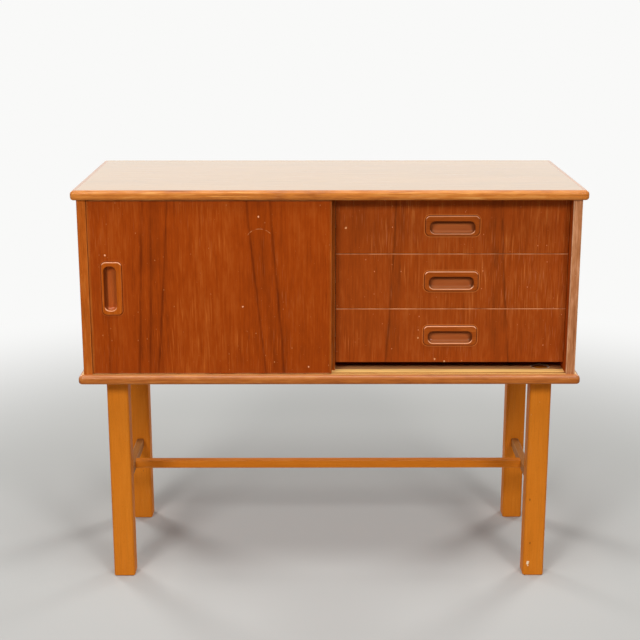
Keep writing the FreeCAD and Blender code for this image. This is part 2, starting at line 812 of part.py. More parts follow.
def side_tenon(name, hand):
    """The core of a side stretcher, which reaches into both legs."""
    x = centred(leg_mid * HANDS[hand], size.side_stretcher_width)
    y = (between_legs[0] - size.side_tenon_length, between_legs[1] + size.side_tenon_length)
    shoulder = size.side_tenon_shoulder
    return box(name, tenon_limits(x, shoulder), y, tenon_limits(side_stretcher_z, shoulder))


def long_tenon(name):
    """The core of the long stretcher, which reaches into both side stretchers."""
    reach = leg_mid - size.side_stretcher_width / 2 + size.long_tenon_length
    y = centred(frame_middle, size.long_stretcher_depth)
    shoulder = size.side_tenon_shoulder
    return box(name, (-reach, reach), tenon_limits(y, shoulder), tenon_limits(long_stretcher_z, shoulder))


for hand, sign in HANDS.items():
    for row_name, y in leg_front.items():
        label = f"{row_name}_{hand}_leg"
        post = rounded_block(
            f"{label}_post",
            centred(leg_mid * sign, size.leg_size),
            (y, leg_back[row_name]),
            (0, size.leg_height),
            [
                (size.leg_round, four_edges(("left", "right"), ("front", "back"))),
                (size.foot_round, [("bottom",)]),
            ],
        )
        tenon = post_tenon(f"{label}_tenon", hand, row_name, post_tenon_length, 0)
        joined = fuse(f"{label}_joined", [post, tenon])
        node(label, cut(label, joined, [side_tenon(f"{label}_mortise", hand)]))

    label = f"{hand}_side_stretcher"
    x = centred(leg_mid * sign, size.side_stretcher_width)
    rounds = [(size.stretcher_round, long_edges)]
    bar = rounded_block(f"{label}_bar", x, between_legs, side_stretcher_z, rounds)
    joined = fuse(f"{label}_joined", [bar, side_tenon(f"{label}_tenon", hand)])
    node(label, cut(label, joined, [long_tenon(f"{label}_mortise")]))

span = leg_mid - size.side_stretcher_width / 2
bar = rounded_block(
    "long_stretcher_bar",
    (-span, span),
    centred(frame_middle, size.long_stretcher_depth),
    long_stretcher_z,
    [(size.stretcher_round, four_edges(("front", "back"), ("top", "bottom")))],
)
node("long_stretcher", fuse("long_stretcher", [bar, long_tenon("long_stretcher_tenon")]))


# Checks and files

doc.recompute()
failed = [item.Label for item in doc.Objects if {"Invalid", "Error"} & set(item.State)]
if failed:
    raise RuntimeError(f"these objects failed: {failed}")
for label, item, solids in nodes:
    if item.Shape.isNull() or not item.Shape.isValid():
        raise RuntimeError(f"{label} has no valid shape")
    if len(item.Shape.Solids) != solids:
        raise RuntimeError(f"{label} has {len(item.Shape.Solids)} solids, not {solids}")

os.makedirs("parts", exist_ok=True)
for label, item, _ in nodes:
    item.Shape.exportStep(f"parts/{label}.step")
print(f"{len(nodes)} nodes written")
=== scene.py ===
"""Looks of a teak hall cabinet: a case with one sliding door and three drawers, on a leg frame.

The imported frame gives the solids. This script softens their edges, dresses each one in a node
material, makes the screw heads, and sets up the floor, the light and the camera.
"""
import logging
import math
from dataclasses import dataclass, replace
from enum import Enum
from typing import Union

import bmesh
import bpy
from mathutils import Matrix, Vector


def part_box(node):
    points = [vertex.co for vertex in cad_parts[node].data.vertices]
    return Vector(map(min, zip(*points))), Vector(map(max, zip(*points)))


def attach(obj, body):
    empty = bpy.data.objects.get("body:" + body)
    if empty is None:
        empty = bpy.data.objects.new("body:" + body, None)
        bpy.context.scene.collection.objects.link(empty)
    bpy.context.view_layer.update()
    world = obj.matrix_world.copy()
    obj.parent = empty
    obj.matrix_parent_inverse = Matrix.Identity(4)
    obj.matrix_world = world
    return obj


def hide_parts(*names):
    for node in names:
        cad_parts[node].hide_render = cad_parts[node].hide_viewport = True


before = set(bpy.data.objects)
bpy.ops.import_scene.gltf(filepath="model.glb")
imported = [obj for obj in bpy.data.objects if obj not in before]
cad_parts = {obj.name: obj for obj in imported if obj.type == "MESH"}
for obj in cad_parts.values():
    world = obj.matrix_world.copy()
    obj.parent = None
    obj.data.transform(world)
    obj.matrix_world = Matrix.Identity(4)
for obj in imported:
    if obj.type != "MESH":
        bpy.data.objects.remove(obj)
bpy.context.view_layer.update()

log = logging.getLogger("hall_cabinet")
MM = 0.001
ARRIS = 0.35 * MM
FLUSH_ARRIS = 0.15 * MM
ARRIS_FACES = 2
SHARP_ANGLE = math.radians(40)
WELD_REACH = 0.005 * MM
SENSOR_WIDTH = 36.0
MIX_SHARE, MIX_FIRST, MIX_SECOND, MIX_RESULT = 0, 6, 7, 2  # a Mix node's sockets for colours
Rgba = tuple[float, float, float, float]
Value = Union["Wire", float, tuple]


def linear(code: str) -> Rgba:
    """Turns a six-digit screen colour into the linear colour that shaders use.

    Args:
        code: The colour as red, green and blue in hexadecimal.

    Returns:
        The linear colour with full alpha.
    """
    shares = [int(code[start:start + 2], 16) / 255 for start in (0, 2, 4)]
    plain = [s / 12.92 if s <= 0.04045 else ((s + 0.055) / 1.055) ** 2.4 for s in shares]
    return (*plain, 1.0)


class Wire:
    """An output socket of a shader node, on which Python's operators add Math nodes."""

    def __init__(self, paint: "Paint", socket: bpy.types.NodeSocket) -> None:
        """Keeps the socket and the material that it belongs to."""
        self.paint = paint
        self.socket = socket

    def work(self, operation: str, first: Value, second: Value = 0.0) -> "Wire":
        """Adds a Math node with these operands and gives back its result."""
        return self.paint.node("ShaderNodeMath", {"operation": operation}, {0: first, 1: second})

    def __add__(self, other: Value) -> "Wire":
        """Sum."""
        return self.work("ADD", self, other)

    __radd__ = __add__

    def __sub__(self, other: Value) -> "Wire":
        """Difference."""
        return self.work("SUBTRACT", self, other)

    def __rsub__(self, other: Value) -> "Wire":
        """Difference from a number."""
        return self.work("SUBTRACT", other, self)

    def __mul__(self, other: Value) -> "Wire":
        """Product."""
        return self.work("MULTIPLY", self, other)

    __rmul__ = __mul__

    def __truediv__(self, other: Value) -> "Wire":
        """Quotient."""
        return self.work("DIVIDE", self, other)

    def __rtruediv__(self, other: Value) -> "Wire":
        """Quotient of a number."""
        return self.work("DIVIDE", other, self)

    def __pow__(self, other: Value) -> "Wire":
        """Power."""
        return self.work("POWER", self, other)

    def root(self) -> "Wire":
        """Square root."""
        return self.work("SQRT", self)

    def least(self, other: Value) -> "Wire":
        """The lower of two values."""
        return self.work("MINIMUM", self, other)

    def most(self, other: Value) -> "Wire":
        """The higher of two values."""
        return self.work("MAXIMUM", self, other)

    def size(self) -> "Wire":
        """The value without its sign."""
        return self.work("ABSOLUTE", self)

    def span(self, other: "Wire") -> "Wire":
        """The length of the line that has these two offsets."""
        return (self * self + other * other).root()

    def between(self, low: float, high: float) -> "Wire":
        """The value moved from the range of 0 to 1 into another range."""
        return self * (high - low) + low

    def band(self, low: float, high: float, blur: float) -> "Wire":
        """One between two limits and 0 beyond them, with soft edges."""
        return self.rise(low - blur, low + blur) - self.rise(high - blur, high + blur)

    def rise(self, low: float, high: float) -> "Wire":
        """A smooth step that leaves 0 at the low limit and reaches 1 at the high one."""
        sockets = {"Value": self, "From Min": low, "From Max": high}
        return self.paint.node("ShaderNodeMapRange", {"interpolation_type": "SMOOTHSTEP"}, sockets)

    def out(self, name: str) -> "Wire":
        """Another output of the same node."""
        return Wire(self.paint, self.socket.node.outputs[name])


class Paint:
    """A node material, or the world's nodes, in the making."""

    def __init__(self, owner: bpy.types.Material | bpy.types.World) -> None:
        """Empties the owner's node tree and gives it an output.

        Args:
            owner: The material, or the world.
        """
        owner.use_nodes = True
        self.owner = owner
        self.tree = owner.node_tree
        self.tree.nodes.clear()
        kind = "World" if isinstance(owner, bpy.types.World) else "Material"
        self.end = self.tree.nodes.new(f"ShaderNodeOutput{kind}")

    @classmethod
    def fresh(cls, name: str) -> "Paint":
        """Starts a new material of that name."""
        return cls(bpy.data.materials.new(name))

    def node(self, kind: str, settings: dict, sockets: dict, output: str | int = 0) -> Wire:
        """Adds a node.

        Args:
            kind: The node's type.
            settings: Its own settings; stops is the list of a ramp's places and colours.
            sockets: Values or wires by the input's name or number.
            output: The output that the wire starts from.

        Returns:
            A wire from that output.
        """
        made = self.tree.nodes.new(kind)
        for name, value in settings.items():
            if name == "stops":
                ramp = made.color_ramp.elements
                for index, (place, colour) in enumerate(value):
                    stop = ramp[index] if index < 2 else ramp.new(place)
                    stop.position = place
                    stop.color = colour
            else:
                setattr(made, name, value)
        for name, value in sockets.items():
            if isinstance(value, Wire):
                self.tree.links.new(value.socket, made.inputs[name])
            else:
                made.inputs[name].default_value = value
        return Wire(self, made.outputs[output])

    def spot(self) -> dict[str, Wire]:
        """Finds the shaded point in the object's own frame.

        Returns:
            Its place in metres, by axis letter.
        """
        place = self.node("ShaderNodeTexCoord", {}, {}, "Object")
        split = self.node("ShaderNodeSeparateXYZ", {}, {0: place})
        return {"x": split, "y": split.out("Y"), "z": split.out("Z")}

    def vector(self, x: Value, y: Value, z: Value) -> Wire:
        """A vector of three values."""
        return self.node("ShaderNodeCombineXYZ", {}, {0: x, 1: y, 2: z})

    def noise(self, x: Value, y: Value, z: Value, detail: float, rough: float = 0.5) -> Wire:
        """Noise from 0 to 1, with a cell to each unit of x, y and z, and finer layers as detail says."""
        sockets = {"Vector": self.vector(x, y, z), "Scale": 1.0, "Detail": detail, "Roughness": rough}
        return self.node("ShaderNodeTexNoise", {}, sockets)

    def cloud(self, scale: float, detail: float, rough: float = 0.5, seed: float = 0.0) -> Wire:
        """Noise that is alike in all directions, with the scale in cells to the metre."""
        spot = self.spot()
        return self.noise(spot["x"] * scale, spot["y"] * scale, spot["z"] * scale + seed, detail, rough)

    def mix(self, base: Value, other: Value, share: Value) -> Wire:
        """A colour with a share, from 0 to 1, of another one over it."""
        sockets = {MIX_SHARE: share, MIX_FIRST: base, MIX_SECOND: other}
        return self.node("ShaderNodeMix", {"data_type": "RGBA"}, sockets, MIX_RESULT)

    def ramp(self, share: Wire, stops: list[tuple[float, Rgba]]) -> Wire:
        """A colour along a ramp."""
        return self.node("ShaderNodeValToRGB", {"stops": stops}, {0: share})

    def bump(self, height: Wire, depth: float, strength: float) -> Wire:
        """A normal bent by a height field of the given depth in metres."""
        sockets = {"Strength": strength, "Distance": depth, "Height": height}
        return self.node("ShaderNodeBump", {}, sockets)

    def surface(self, **sockets: Value) -> bpy.types.Material:
        """Ends the material in a Principled shader, whose inputs are named with _ for each space."""
        named = {name.replace("_", " "): value for name, value in sockets.items()}
        return self.show(self.node("ShaderNodeBsdfPrincipled", {}, named))

    def show(self, shader: Wire) -> bpy.types.Material | bpy.types.World:
        """Links a shader to the output and gives back the owner."""
        self.tree.links.new(shader.socket, self.end.inputs["Surface"])
        return self.owner


class Grain(Enum):
    """How the wood lies in a piece: the axes along the grain, across it and through the piece."""

    UP_FRONT = "zxy"
    UP_SIDE = "zyx"
    LEVEL_TOP = "xyz"
    LEVEL_FRONT = "xzy"
    DEEP_SIDE = "yzx"


@dataclass(frozen=True)
class Pattern:
    """Noise that is drawn out along the grain.

    Attributes:
        across: Cells to the metre across the grain, or to each unit over the growth rings.
        along: Cells to the metre along the grain.
        detail: How many finer layers are added.
        rough: How strong each finer layer is.
        shift: What is added to a board's seed, so that its patterns differ.
        step: Limits between which the noise rises from 0 to 1, or none for the noise itself.
    """

    across: float
    along: float
    detail: float = 1.0
    rough: float = 0.5
    shift: float = 0.0
    step: tuple[float, float] | None = None


# Patterns that follow the growth rings
STRIPE = Pattern(1.0, 7.0, 4.0, 0.62)
DARK_LINE = Pattern(0.9, 6.0, 2.0, 0.6, 7.0, (0.24, 0.40))
BROAD_BAND = Pattern(14.0, 1.1, 2.0, shift=4.0)
PALE_HAIR = Pattern(480.0, 18.0, shift=2.0, step=(0.55, 0.78))
# Patterns that run straight
FIBRE = Pattern(620.0, 14.0, 2.0)
PORE = Pattern(1500.0, 75.0, step=(0.60, 0.70))
SWAY = Pattern(4.0, 1.5)
RIPPLE = Pattern(45.0, 8.0)
MOTTLE = Pattern(110.0, 26.0, 3.0, 0.6, 6.0)
HAIR_PATCH = Pattern(8.0, 5.0, shift=3.0, step=(0.3, 0.7))
STREAK_FADE = Pattern(30.0, 14.0, 2.0, shift=9.0, step=(0.2, 0.7))
STREAK_EDGE = Pattern(12.0, 34.0, 2.0, shift=5.0)
RAY = Pattern(700.0, 210.0, 0.0, step=(0.64, 0.74))
RUBBING = Pattern(25.0, 60.0, 3.0, 0.6, step=(0.24, 0.62))
SCRATCH = Pattern(800.0, 30.0, step=(0.60, 0.80))
SCRATCH_PATCH = Pattern(9.0, 7.0, step=(0.42, 0.66))
DENT_EDGE = Pattern(900.0, 500.0, shift=1.0)
CHIP_EDGE = Pattern(260.0, 260.0, 3.0, 0.6, 1.0)
ARC_BREAK = Pattern(220.0, 220.0, 2.0, shift=3.0, step=(0.38, 0.6))
STRIP_PATCH = Pattern(160.0, 9.0, 3.0, 0.6, step=(0.2, 0.6))
FLOOR_SHEEN_GRAIN = Pattern(420.0, 22.0, 2.0, shift=3.0)

# How strongly the patterns act on a wood's colour, gloss and relief
PORE_TINT = 0.5
FIBRE_TINT = 0.9
STRIPE_TONE = 0.42
MOTTLE_TONE = 0.45
HAIR_TONE = 0.4
LINE_TONE = 0.16
STRIPE_GLOSS = 0.16
BARE_ROUGHNESS = 0.5
FIBRE_RELIEF = 0.4
GRAIN_DEPTH = 0.12 * MM
GRAIN_STRENGTH = 0.6
RIPPLE_REACH = 1.6 * MM
PITH_DEPTH = 0.6
STREAK_BEND = 1.25
STREAK_FALL = 1.5
STREAK_WANDER = 2.6 * MM
WORN_CORE = 0.2 * MM
# Knots and dents: their sizes are in cells, and cells are drawn out along the grain
SPOT_STRETCH = 1 / 0.6
KNOT_COLOUR = "5a2a0a"
KNOT_SCALE = 42.0
KNOT_SIZE = (0.03, 0.09)
KNOT_CHANCE = (0.66, 0.68)
DENT_SIZE = (0.035, 0.085)
DENT_RAGGED = 0.05
LARGE_DENTS = (62.0, 0.84)
SMALL_DENTS = (150.0, 0.90)
SMALL_DENT_SHARE = 0.8
SMALL_DENT_SHIFT = 0.3
DENT_CHANCE_BLUR = 0.02
# Ranges that a pattern is moved into, where it makes something stronger and weaker
STREAK_STRENGTH = (0.5, 1.0)
DENT_STRENGTH = (0.2, 1.0)
SHEEN_AND_RUB_STRENGTH = (0.7, 1.3)
STRIP_STRENGTH = (0.55, 1.0)
FLOOR_SHEEN_STRENGTH = (0.55, 1.35)
HIGHLIGHT_CORNER_STRENGTH = (0.5, 1.0)
# How softly marks start and end
STRIP_BLUR = 0.8 * MM
STRIP_SKIN = (0.6 * MM, 0.2 * MM)
RIM_BLUR = 0.3 * MM
RING_BLUR = 0.35 * MM
ARC_WIDTH = (0.2 * MM, 0.9 * MM)
ARC_END = 4 * MM
CHIP_BLUR = (0.55, 0.85)
RECESS_SHADE_FADE = (0.1, 1.0)
HIGHLIGHT_TURN = (0.2, 0.45)
# A pull's rounded corners, and depths behind its face
PULL_CORNER = 8.5 * MM
RECESS_SHADE_DEPTH = (1.2 * MM, 6.0 * MM)
FLOOR_SHEEN_DEPTH = (4.5 * MM, 9.0 * MM)
HIGHLIGHT_DEPTH = (1.6 * MM, 3.2 * MM)


@dataclass(frozen=True)
class Point:
    """The shaded point, by the frame's axes and by the wood's own."""

    paint: Paint
    axes: dict[str, Wire]
    along: Wire
    across: Wire
    through: Wire

    @classmethod
    def on(cls, paint: Paint, grain: Grain) -> "Point":
        """The point in a new material, for wood that lies in the given way."""
        axes = paint.spot()
        return cls(paint, axes, *(axes[axis] for axis in grain.value))

    def noise(self, pattern: Pattern, seed: float = 0.0, ring: Wire | None = None) -> Wire:
        """One of the wood's patterns.

        Args:
            pattern: The pattern.
            seed: Which stretch of the wood it is.
            ring: Where the point is over the growth rings, for a pattern that follows them.

        Returns:
            The pattern, from 0 to 1.
        """
        start = seed + pattern.shift
        far = self.along * pattern.along
        place = (self.across * pattern.across, self.through * pattern.across, far + start)
        if ring is not None:
            place = (ring * pattern.across, far, start)
        field = self.paint.noise(*place, pattern.detail, pattern.rough)
        return field.rise(*pattern.step) if pattern.step else field

    def spots(self, place: tuple[Value, Value, Value], scale: float, dimensions: str) -> tuple[Wire, Wire]:
        """Spots scattered over the wood.

        Args:
            place: The point among the spots.
            scale: Spots to the metre.
            dimensions: 2D where the spots lie on the surface, 3D where they go through it.

        Returns:
            How far the nearest spot is, in cells, and numbers of chance for that spot.
        """
        sockets = {"Vector": self.paint.vector(*place), "Scale": scale}
        settings = {"voronoi_dimensions": dimensions}
        near = self.paint.node("ShaderNodeTexVoronoi", settings, sockets, "Distance")
        return near, self.paint.node("ShaderNodeSeparateColor", {}, {0: near.out("Color")})

    def facing(self) -> dict[str, Wire]:
        """Finds the way that the surface faces.

        Returns:
            Its normal by axis letter: z is 0 on an upright face and 1 on one that faces up.
        """
        normal = self.paint.node("ShaderNodeNewGeometry", {}, {}, "Normal")
        parts = self.paint.node("ShaderNodeSeparateXYZ", {}, {0: normal})
        return {axis: parts.out(axis.upper()) for axis in "xyz"}


@dataclass(frozen=True)
class Streak:
    """A dark line in a veneer, which leans as it goes down.

    Attributes:
        head: Where it is across the veneer at the top, in metres.
        foot: Where it is at the bottom.
        width: How far it fades to each side.
        depth: How dark it is.
    """

    head: float
    foot: float
    width: float
    depth: float


@dataclass(frozen=True)
class Mark:
    """Something that has happened to a board since it was made.

    Attributes:
        colour: The colour that it leaves.
        share: How much of that colour shows where it is strongest.
    """

    colour: str
    share: float

    def shape(self, point: Point) -> Wire:
        """Where it is, from 0 to 1. Each kind of mark has its own shape."""
        raise NotImplementedError

    def cover(self, point: Point) -> Wire:
        """How much of the point's own colour it hides."""
        return self.shape(point) * self.share


@dataclass(frozen=True)
class RubbedStrip(Mark):
    """A strip along the upper face of a level board, gone to another colour by wear.

    Attributes:
        near, far: Its limits from front to back, in metres.
        level: The height of the face.
    """

    near: float
    far: float
    level: float

    def shape(self, point: Point) -> Wire:
        """A patchy band on the upper face only.

        Args:
            point: The shaded point.

        Returns:
            Where the mark is, from 0 to 1.
        """
        inside = point.axes["y"].band(self.near, self.far, STRIP_BLUR)
        above = point.axes["z"].rise(*(self.level - below for below in STRIP_SKIN))
        return inside * above * point.noise(STRIP_PATCH).between(*STRIP_STRENGTH)


@dataclass(frozen=True)
class BoredRim(Mark):
    """Raw wood round and inside an upright hole.

    Attributes:
        x, y: The hole's axis.
        radius: How far from the axis the raw wood shows, in metres.
    """

    x: float
    y: float
    radius: float

    def shape(self, point: Point) -> Wire:
        """A disc about the hole's axis."""
        away = (point.axes["x"] - self.x).span(point.axes["y"] - self.y)
        return 1 - away.rise(self.radius, self.radius + RIM_BLUR)


@dataclass(frozen=True)
class CurvedScratch(Mark):
    """A scratch on a front, along the upper part of a circle.

    Attributes:
        x, z: The circle's middle.
        radius: Its radius, in metres.
        base: The height above which the scratch shows.
    """

    x: float
    z: float
    radius: float
    base: float

    def shape(self, point: Point) -> Wire:
        """A broken arc that thins out at its ends.

        Args:
            point: The shaded point.

        Returns:
            Where the mark is, from 0 to 1.
        """
        away = (point.axes["x"] - self.x).span(point.axes["z"] - self.z)
        line = 1 - (away - self.radius).size().rise(*ARC_WIDTH)
        ends = point.axes["z"].rise(self.base, self.base + ARC_END)
        return line * point.noise(ARC_BREAK) * ends


@dataclass(frozen=True)
class Chip(Mark):
    """A small ragged spot on a front.

    Attributes:
        x, z: Its middle.
        width, height: Half its size, in metres.
        ragged: How far its outline wanders, in shares of its size.
    """

    x: float
    z: float
    width: float
    height: float
    ragged: float

    def shape(self, point: Point) -> Wire:
        """An oval with a wandering edge.

        Args:
            point: The shaded point.

        Returns:
            Where the mark is, from 0 to 1.
        """
        aside = (point.axes["x"] - self.x) / self.width
        above = (point.axes["z"] - self.z) / self.height
        wander = (point.noise(CHIP_EDGE) - 0.5) * self.ragged
        return 1 - (aside.span(above) + wander).rise(*CHIP_BLUR)


@dataclass(frozen=True)
class RecessShade(Mark):
    """Painted shade along one side of a pull's recess, where its rim shades the floor.

    Attributes:
        face: How far forward the pull's face is.
        axis: The axis across the recess.
        lip: Where the painted shade starts to fade on that axis.
        inward: How far it thins out, with its sign, in metres.
    """

    face: float
    axis: str
    lip: float
    inward: float

    def shape(self, point: Point) -> Wire:
        """A band below the face that fades inward.

        Args:
            point: The shaded point.

        Returns:
            Where the mark is, from 0 to 1.
        """
        deep = (point.axes["y"] - self.face).rise(*RECESS_SHADE_DEPTH)
        near = (point.axes[self.axis] - self.lip) / self.inward
        return deep * (1 - near.rise(*RECESS_SHADE_FADE))


@dataclass(frozen=True)
class RecessFloorSheen(Mark):
    """The floor of a pull's recess, painted paler: a painted reflection of the light that it catches.

    Attributes:
        face: How far forward the pull's face is.
    """

    face: float

    def shape(self, point: Point) -> Wire:
        """What lies deep behind the face, more in some fibres than in others."""
        deep = (point.axes["y"] - self.face).rise(*FLOOR_SHEEN_DEPTH)
        return deep * point.noise(FLOOR_SHEEN_GRAIN).between(*FLOOR_SHEEN_STRENGTH)


@dataclass(frozen=True)
class PullHighlight(Mark):
    """A painted highlight on a pull's rounded edges that face up, strongest at the corners.

    Attributes:
        face: How far forward the pull's face is.
    """

    face: float

    def shape(self, point: Point) -> Wire:
        """What faces up near the pull's face, stronger where it also faces aside.

        Args:
            point: The shaded point.

        Returns:
            Where the mark is, from 0 to 1.
        """
        facing = point.facing()
        corner = facing["x"].size().rise(*HIGHLIGHT_TURN).between(*HIGHLIGHT_CORNER_STRENGTH)
        deep = (point.axes["y"] - self.face).rise(*HIGHLIGHT_DEPTH)
        return facing["z"].rise(*HIGHLIGHT_TURN) * corner * (1 - deep)


@dataclass(frozen=True)
class SeatRing(Mark):
    """A ring on a front, round one of its pulls, where painted shade and a painted highlight go.

    Attributes:
        pull: The pull's node.
        inner, outer: How far from the pull the ring starts and ends, in metres.
    """

    pull: str
    inner: float
    outer: float

    def shape(self, point: Point) -> Wire:
        """A band at a distance from the pull's rounded outline.

        Args:
            point: The shaded point.

        Returns:
            Where the mark is, from 0 to 1.
        """
        low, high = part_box(self.pull)
        outside = []
        for index, axis in ((0, "x"), (2, "z")):
            offset = point.axes[axis] - (low[index] + high[index]) / 2
            reach = (high[index] - low[index]) / 2 - PULL_CORNER
            outside.append((offset.size() - reach).most(0.0))
        away = outside[0].span(outside[1]) - PULL_CORNER
        return away.band(self.inner, self.outer, RING_BLUR)


@dataclass(frozen=True)
class Board:
    """One dressed piece of wood.

    Attributes:
        node: The frame's node.
        grain: How the wood lies in it.
        seed: Which stretch of the wood it was cut from.
        seams: Faces that are glued to a neighbour, such as -x or +y, whose edges don't wear.
        arris: How far its sharp edges are eased, in metres.
        marks: What has happened to it since it was made.
    """

    node: str
    grain: Grain
    seed: float = 0.0
    seams: tuple[str, ...] = ()
    arris: float = ARRIS
    marks: tuple[Mark, ...] = ()

    def worn_box(self) -> dict[str, tuple[float, float]]:
        """Finds the box whose edges wear, with the seams moved out of reach.

        Returns:
            Its low and its high limit, by axis letter.
        """
        far = 1.0
        low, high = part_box(self.node)
        limits = {}
        for index, axis in enumerate("xyz"):
            near = low[index] - (far if f"-{axis}" in self.seams else 0.0)
            away = high[index] + (far if f"+{axis}" in self.seams else 0.0)
            limits[axis] = (near, away)
        return limits


@dataclass(frozen=True)
class Timber:
    """A wood with its finish.

    Attributes:
        slot: The record's material slot.
        dark, mid, light: Colours of late, middle and early wood.
        wear_and_painted_light: Colour where the finish has gone, also the colour of the painted highlight on
            upward faces.
        stripes: Growth stripes to the metre.
        contrast: How far the stripes swing from dark to light.
        drift: How far the tone swings over a hand's breadth.
        sway: How far the stripes wander sideways, in metres.
        pith: Distance of the tree's heart from the piece, or 0 for a sliced veneer.
        pores: How strongly the pores show.
        flecks: How strongly short ray flecks show.
        knots: How strongly small dark knots show.
        wear: How much of the edges has gone pale.
        wear_width: How far the wear reaches from an edge, in metres.
        specks: How strongly pale specks show.
        scratches: How strongly short pale scratches show.
        rough: Roughness of the wood.
        shine: Specular level of the wood.
        varnish: Weight of the clear coat.
        varnish_rough: Roughness of the clear coat.
        varnish_ior: Refractive index of the clear coat.
        polish: How much more clear coat shows where the wood faces up.
        level: How level the wood lies where that coat starts and where it is whole, up to 1.
        sheen_and_rub: How far the wood goes pale there: a painted highlight on upward faces, with some wear.
        streaks: Dark lines at known places.
        span: Heights between which the streaks run.
    """

    slot: str
    dark: str
    mid: str
    light: str
    wear_and_painted_light: str
    stripes: float = 260.0
    contrast: float = 1.2
    drift: float = 0.35
    sway: float = 0.02
    pith: float = 0.0
    pores: float = 0.5
    flecks: float = 0.0
    knots: float = 0.0
    wear: float = 0.6
    wear_width: float = 1.8 * MM
    specks: float = 0.5
    scratches: float = 0.3
    rough: float = 0.45
    shine: float = 0.15
    varnish: float = 0.0
    varnish_rough: float = 0.15
    varnish_ior: float = 1.5
    polish: float = 0.0
    level: tuple[float, float] = (0.15, 0.7)
    sheen_and_rub: float = 0.0
    streaks: tuple[Streak, ...] = ()
    span: tuple[float, float] = (0.0, 1.0)

    def dress(self, board: Board) -> bpy.types.Material:
        """Makes this wood's material for one board.

        Args:
            board: The piece, whose box and grain the figure follows.

        Returns:
            The material.
        """
        paint = Paint.fresh(f"{self.slot}_{board.node}")
        point = Point.on(paint, board.grain)
        ring = self.rings(point, board.seed)
        stripe = point.noise(STRIPE, board.seed, ring * self.stripes)
        fibre = point.noise(FIBRE, board.seed)
        pore = point.noise(PORE, board.seed) * self.pores
        shade = pore * PORE_TINT + (0.5 - fibre) * FIBRE_TINT
        colour = self.figure(point, ring, stripe, board.seed)
        colour = paint.mix(colour, linear(self.dark), shade.most(0.0))
        colour = self.blemish(point, colour, board.seed)
        bare = self.bare_wood(point, board)
        colour = paint.mix(colour, linear(self.wear_and_painted_light), bare)
        coat: Value = self.varnish
        if self.polish:
            up = point.facing()["z"].rise(*self.level)
            coat = (up * self.polish + self.varnish) * (1 - bare)
            # Painted highlight on upward faces, with some wear: they take on the pale colour
            colour = paint.mix(colour, linear(self.wear_and_painted_light), up * fibre.between(*SHEEN_AND_RUB_STRENGTH) * self.sheen_and_rub)
        for mark in board.marks:
            colour = paint.mix(colour, linear(mark.colour), mark.cover(point))
        return paint.surface(
            Base_Color=colour,
            Roughness=self.rough + (0.5 - stripe) * STRIPE_GLOSS + bare * BARE_ROUGHNESS,
            Specular_IOR_Level=self.shine,
            Coat_Weight=coat,
            Coat_Roughness=self.varnish_rough,
            Coat_IOR=self.varnish_ior,
            Normal=paint.bump(fibre * FIBRE_RELIEF - pore, GRAIN_DEPTH, GRAIN_STRENGTH),
        )

    def rings(self, point: Point, seed: float) -> Wire:
        """The distance over which the growth rings are counted.

        Args:
            point: The shaded point.
            seed: Which stretch of the wood it is.

        Returns:
            A distance in metres that wanders as the grain does.
        """
        sway = point.noise(SWAY, seed * 3) - 0.5
        ripple = point.noise(RIPPLE, seed) - 0.5
        across = point.across
        if self.pith:
            across = (across + self.pith).span(point.through + self.pith * PITH_DEPTH)
        return across + sway * self.sway + ripple * RIPPLE_REACH

    def figure(self, point: Point, ring: Wire, stripe: Wire, seed: float) -> Wire:
        """The colour of the clean wood.

        Args:
            point: The shaded point.
            ring: The distance over which the rings are counted.
            stripe: Fine stripes along the rings.
            seed: Which stretch of the wood it is.

        Returns:
            The colour.
        """
        broad = point.noise(BROAD_BAND, seed, ring) - 0.5
        line = 1 - point.noise(DARK_LINE, seed, ring * self.stripes)
        hair = point.noise(PALE_HAIR, seed, ring) * point.noise(HAIR_PATCH, seed)
        mottle = point.noise(MOTTLE, seed) - 0.5
        swing = (stripe - 0.5) * STRIPE_TONE + mottle * MOTTLE_TONE + hair * HAIR_TONE - line * LINE_TONE
        tone = 0.5 + broad * self.drift + swing * self.contrast
        if self.streaks:
            tone = tone - self.streaking(point, ring, seed)
        stops = [(0.0, linear(self.dark)), (1.0, linear(self.light)), (0.5, linear(self.mid))]
        return point.paint.ramp(tone, stops)

    def streaking(self, point: Point, ring: Wire, seed: float) -> Wire:
        """How much darker the streaks make the wood.

        Args:
            point: The shaded point.
            ring: The distance over which the rings are counted.
            seed: Which stretch of the wood it is.

        Returns:
            The sum of all streaks.
        """
        bottom, top = self.span
        fall = ((top - point.along) / (top - bottom)).most(0.0) ** STREAK_BEND
        ragged = ring + (point.noise(STREAK_EDGE, seed) - 0.5) * STREAK_WANDER
        total: Value = 0.0
        for streak in self.streaks:
            middle = fall * (streak.foot - streak.head) + streak.head
            reach = (ragged - middle) / streak.width
            total = streak.depth / (reach * reach + 1) ** STREAK_FALL + total
        return total * point.noise(STREAK_FADE, seed).between(*STREAK_STRENGTH)

    def blemish(self, point: Point, colour: Wire, seed: float) -> Wire:
        """Adds the short rays and the small knots of a wood such as beech.

        Args:
            point: The shaded point.
            colour: The colour of the clean wood.
            seed: Which stretch of the wood it is.

        Returns:
            The colour with its blemishes.
        """
        if self.flecks:
            colour = point.paint.mix(colour, linear(self.dark), point.noise(RAY, seed) * self.flecks)
        if self.knots:
            place = (point.across, point.through, point.along / SPOT_STRETCH)
            near, chance = point.spots(place, KNOT_SCALE, "3D")
            knot = (1 - near.rise(*KNOT_SIZE)) * chance.rise(*KNOT_CHANCE) * self.knots
            colour = point.paint.mix(colour, linear(KNOT_COLOUR), knot)
        return colour

    def bare_wood(self, point: Point, board: Board) -> Wire:
        """Where the finish has gone: along edges, in specks and in short scratches.

        Args:
            point: The shaded point.
            board: The piece, for its worn edges.

        Returns:
            The share of bare wood, from 0 to 1.
        """
        gaps = []
        for axis, (low, high) in board.worn_box().items():
            gaps.append((point.axes[axis] - low).least(high - point.axes[axis]))
        first, second, third = gaps
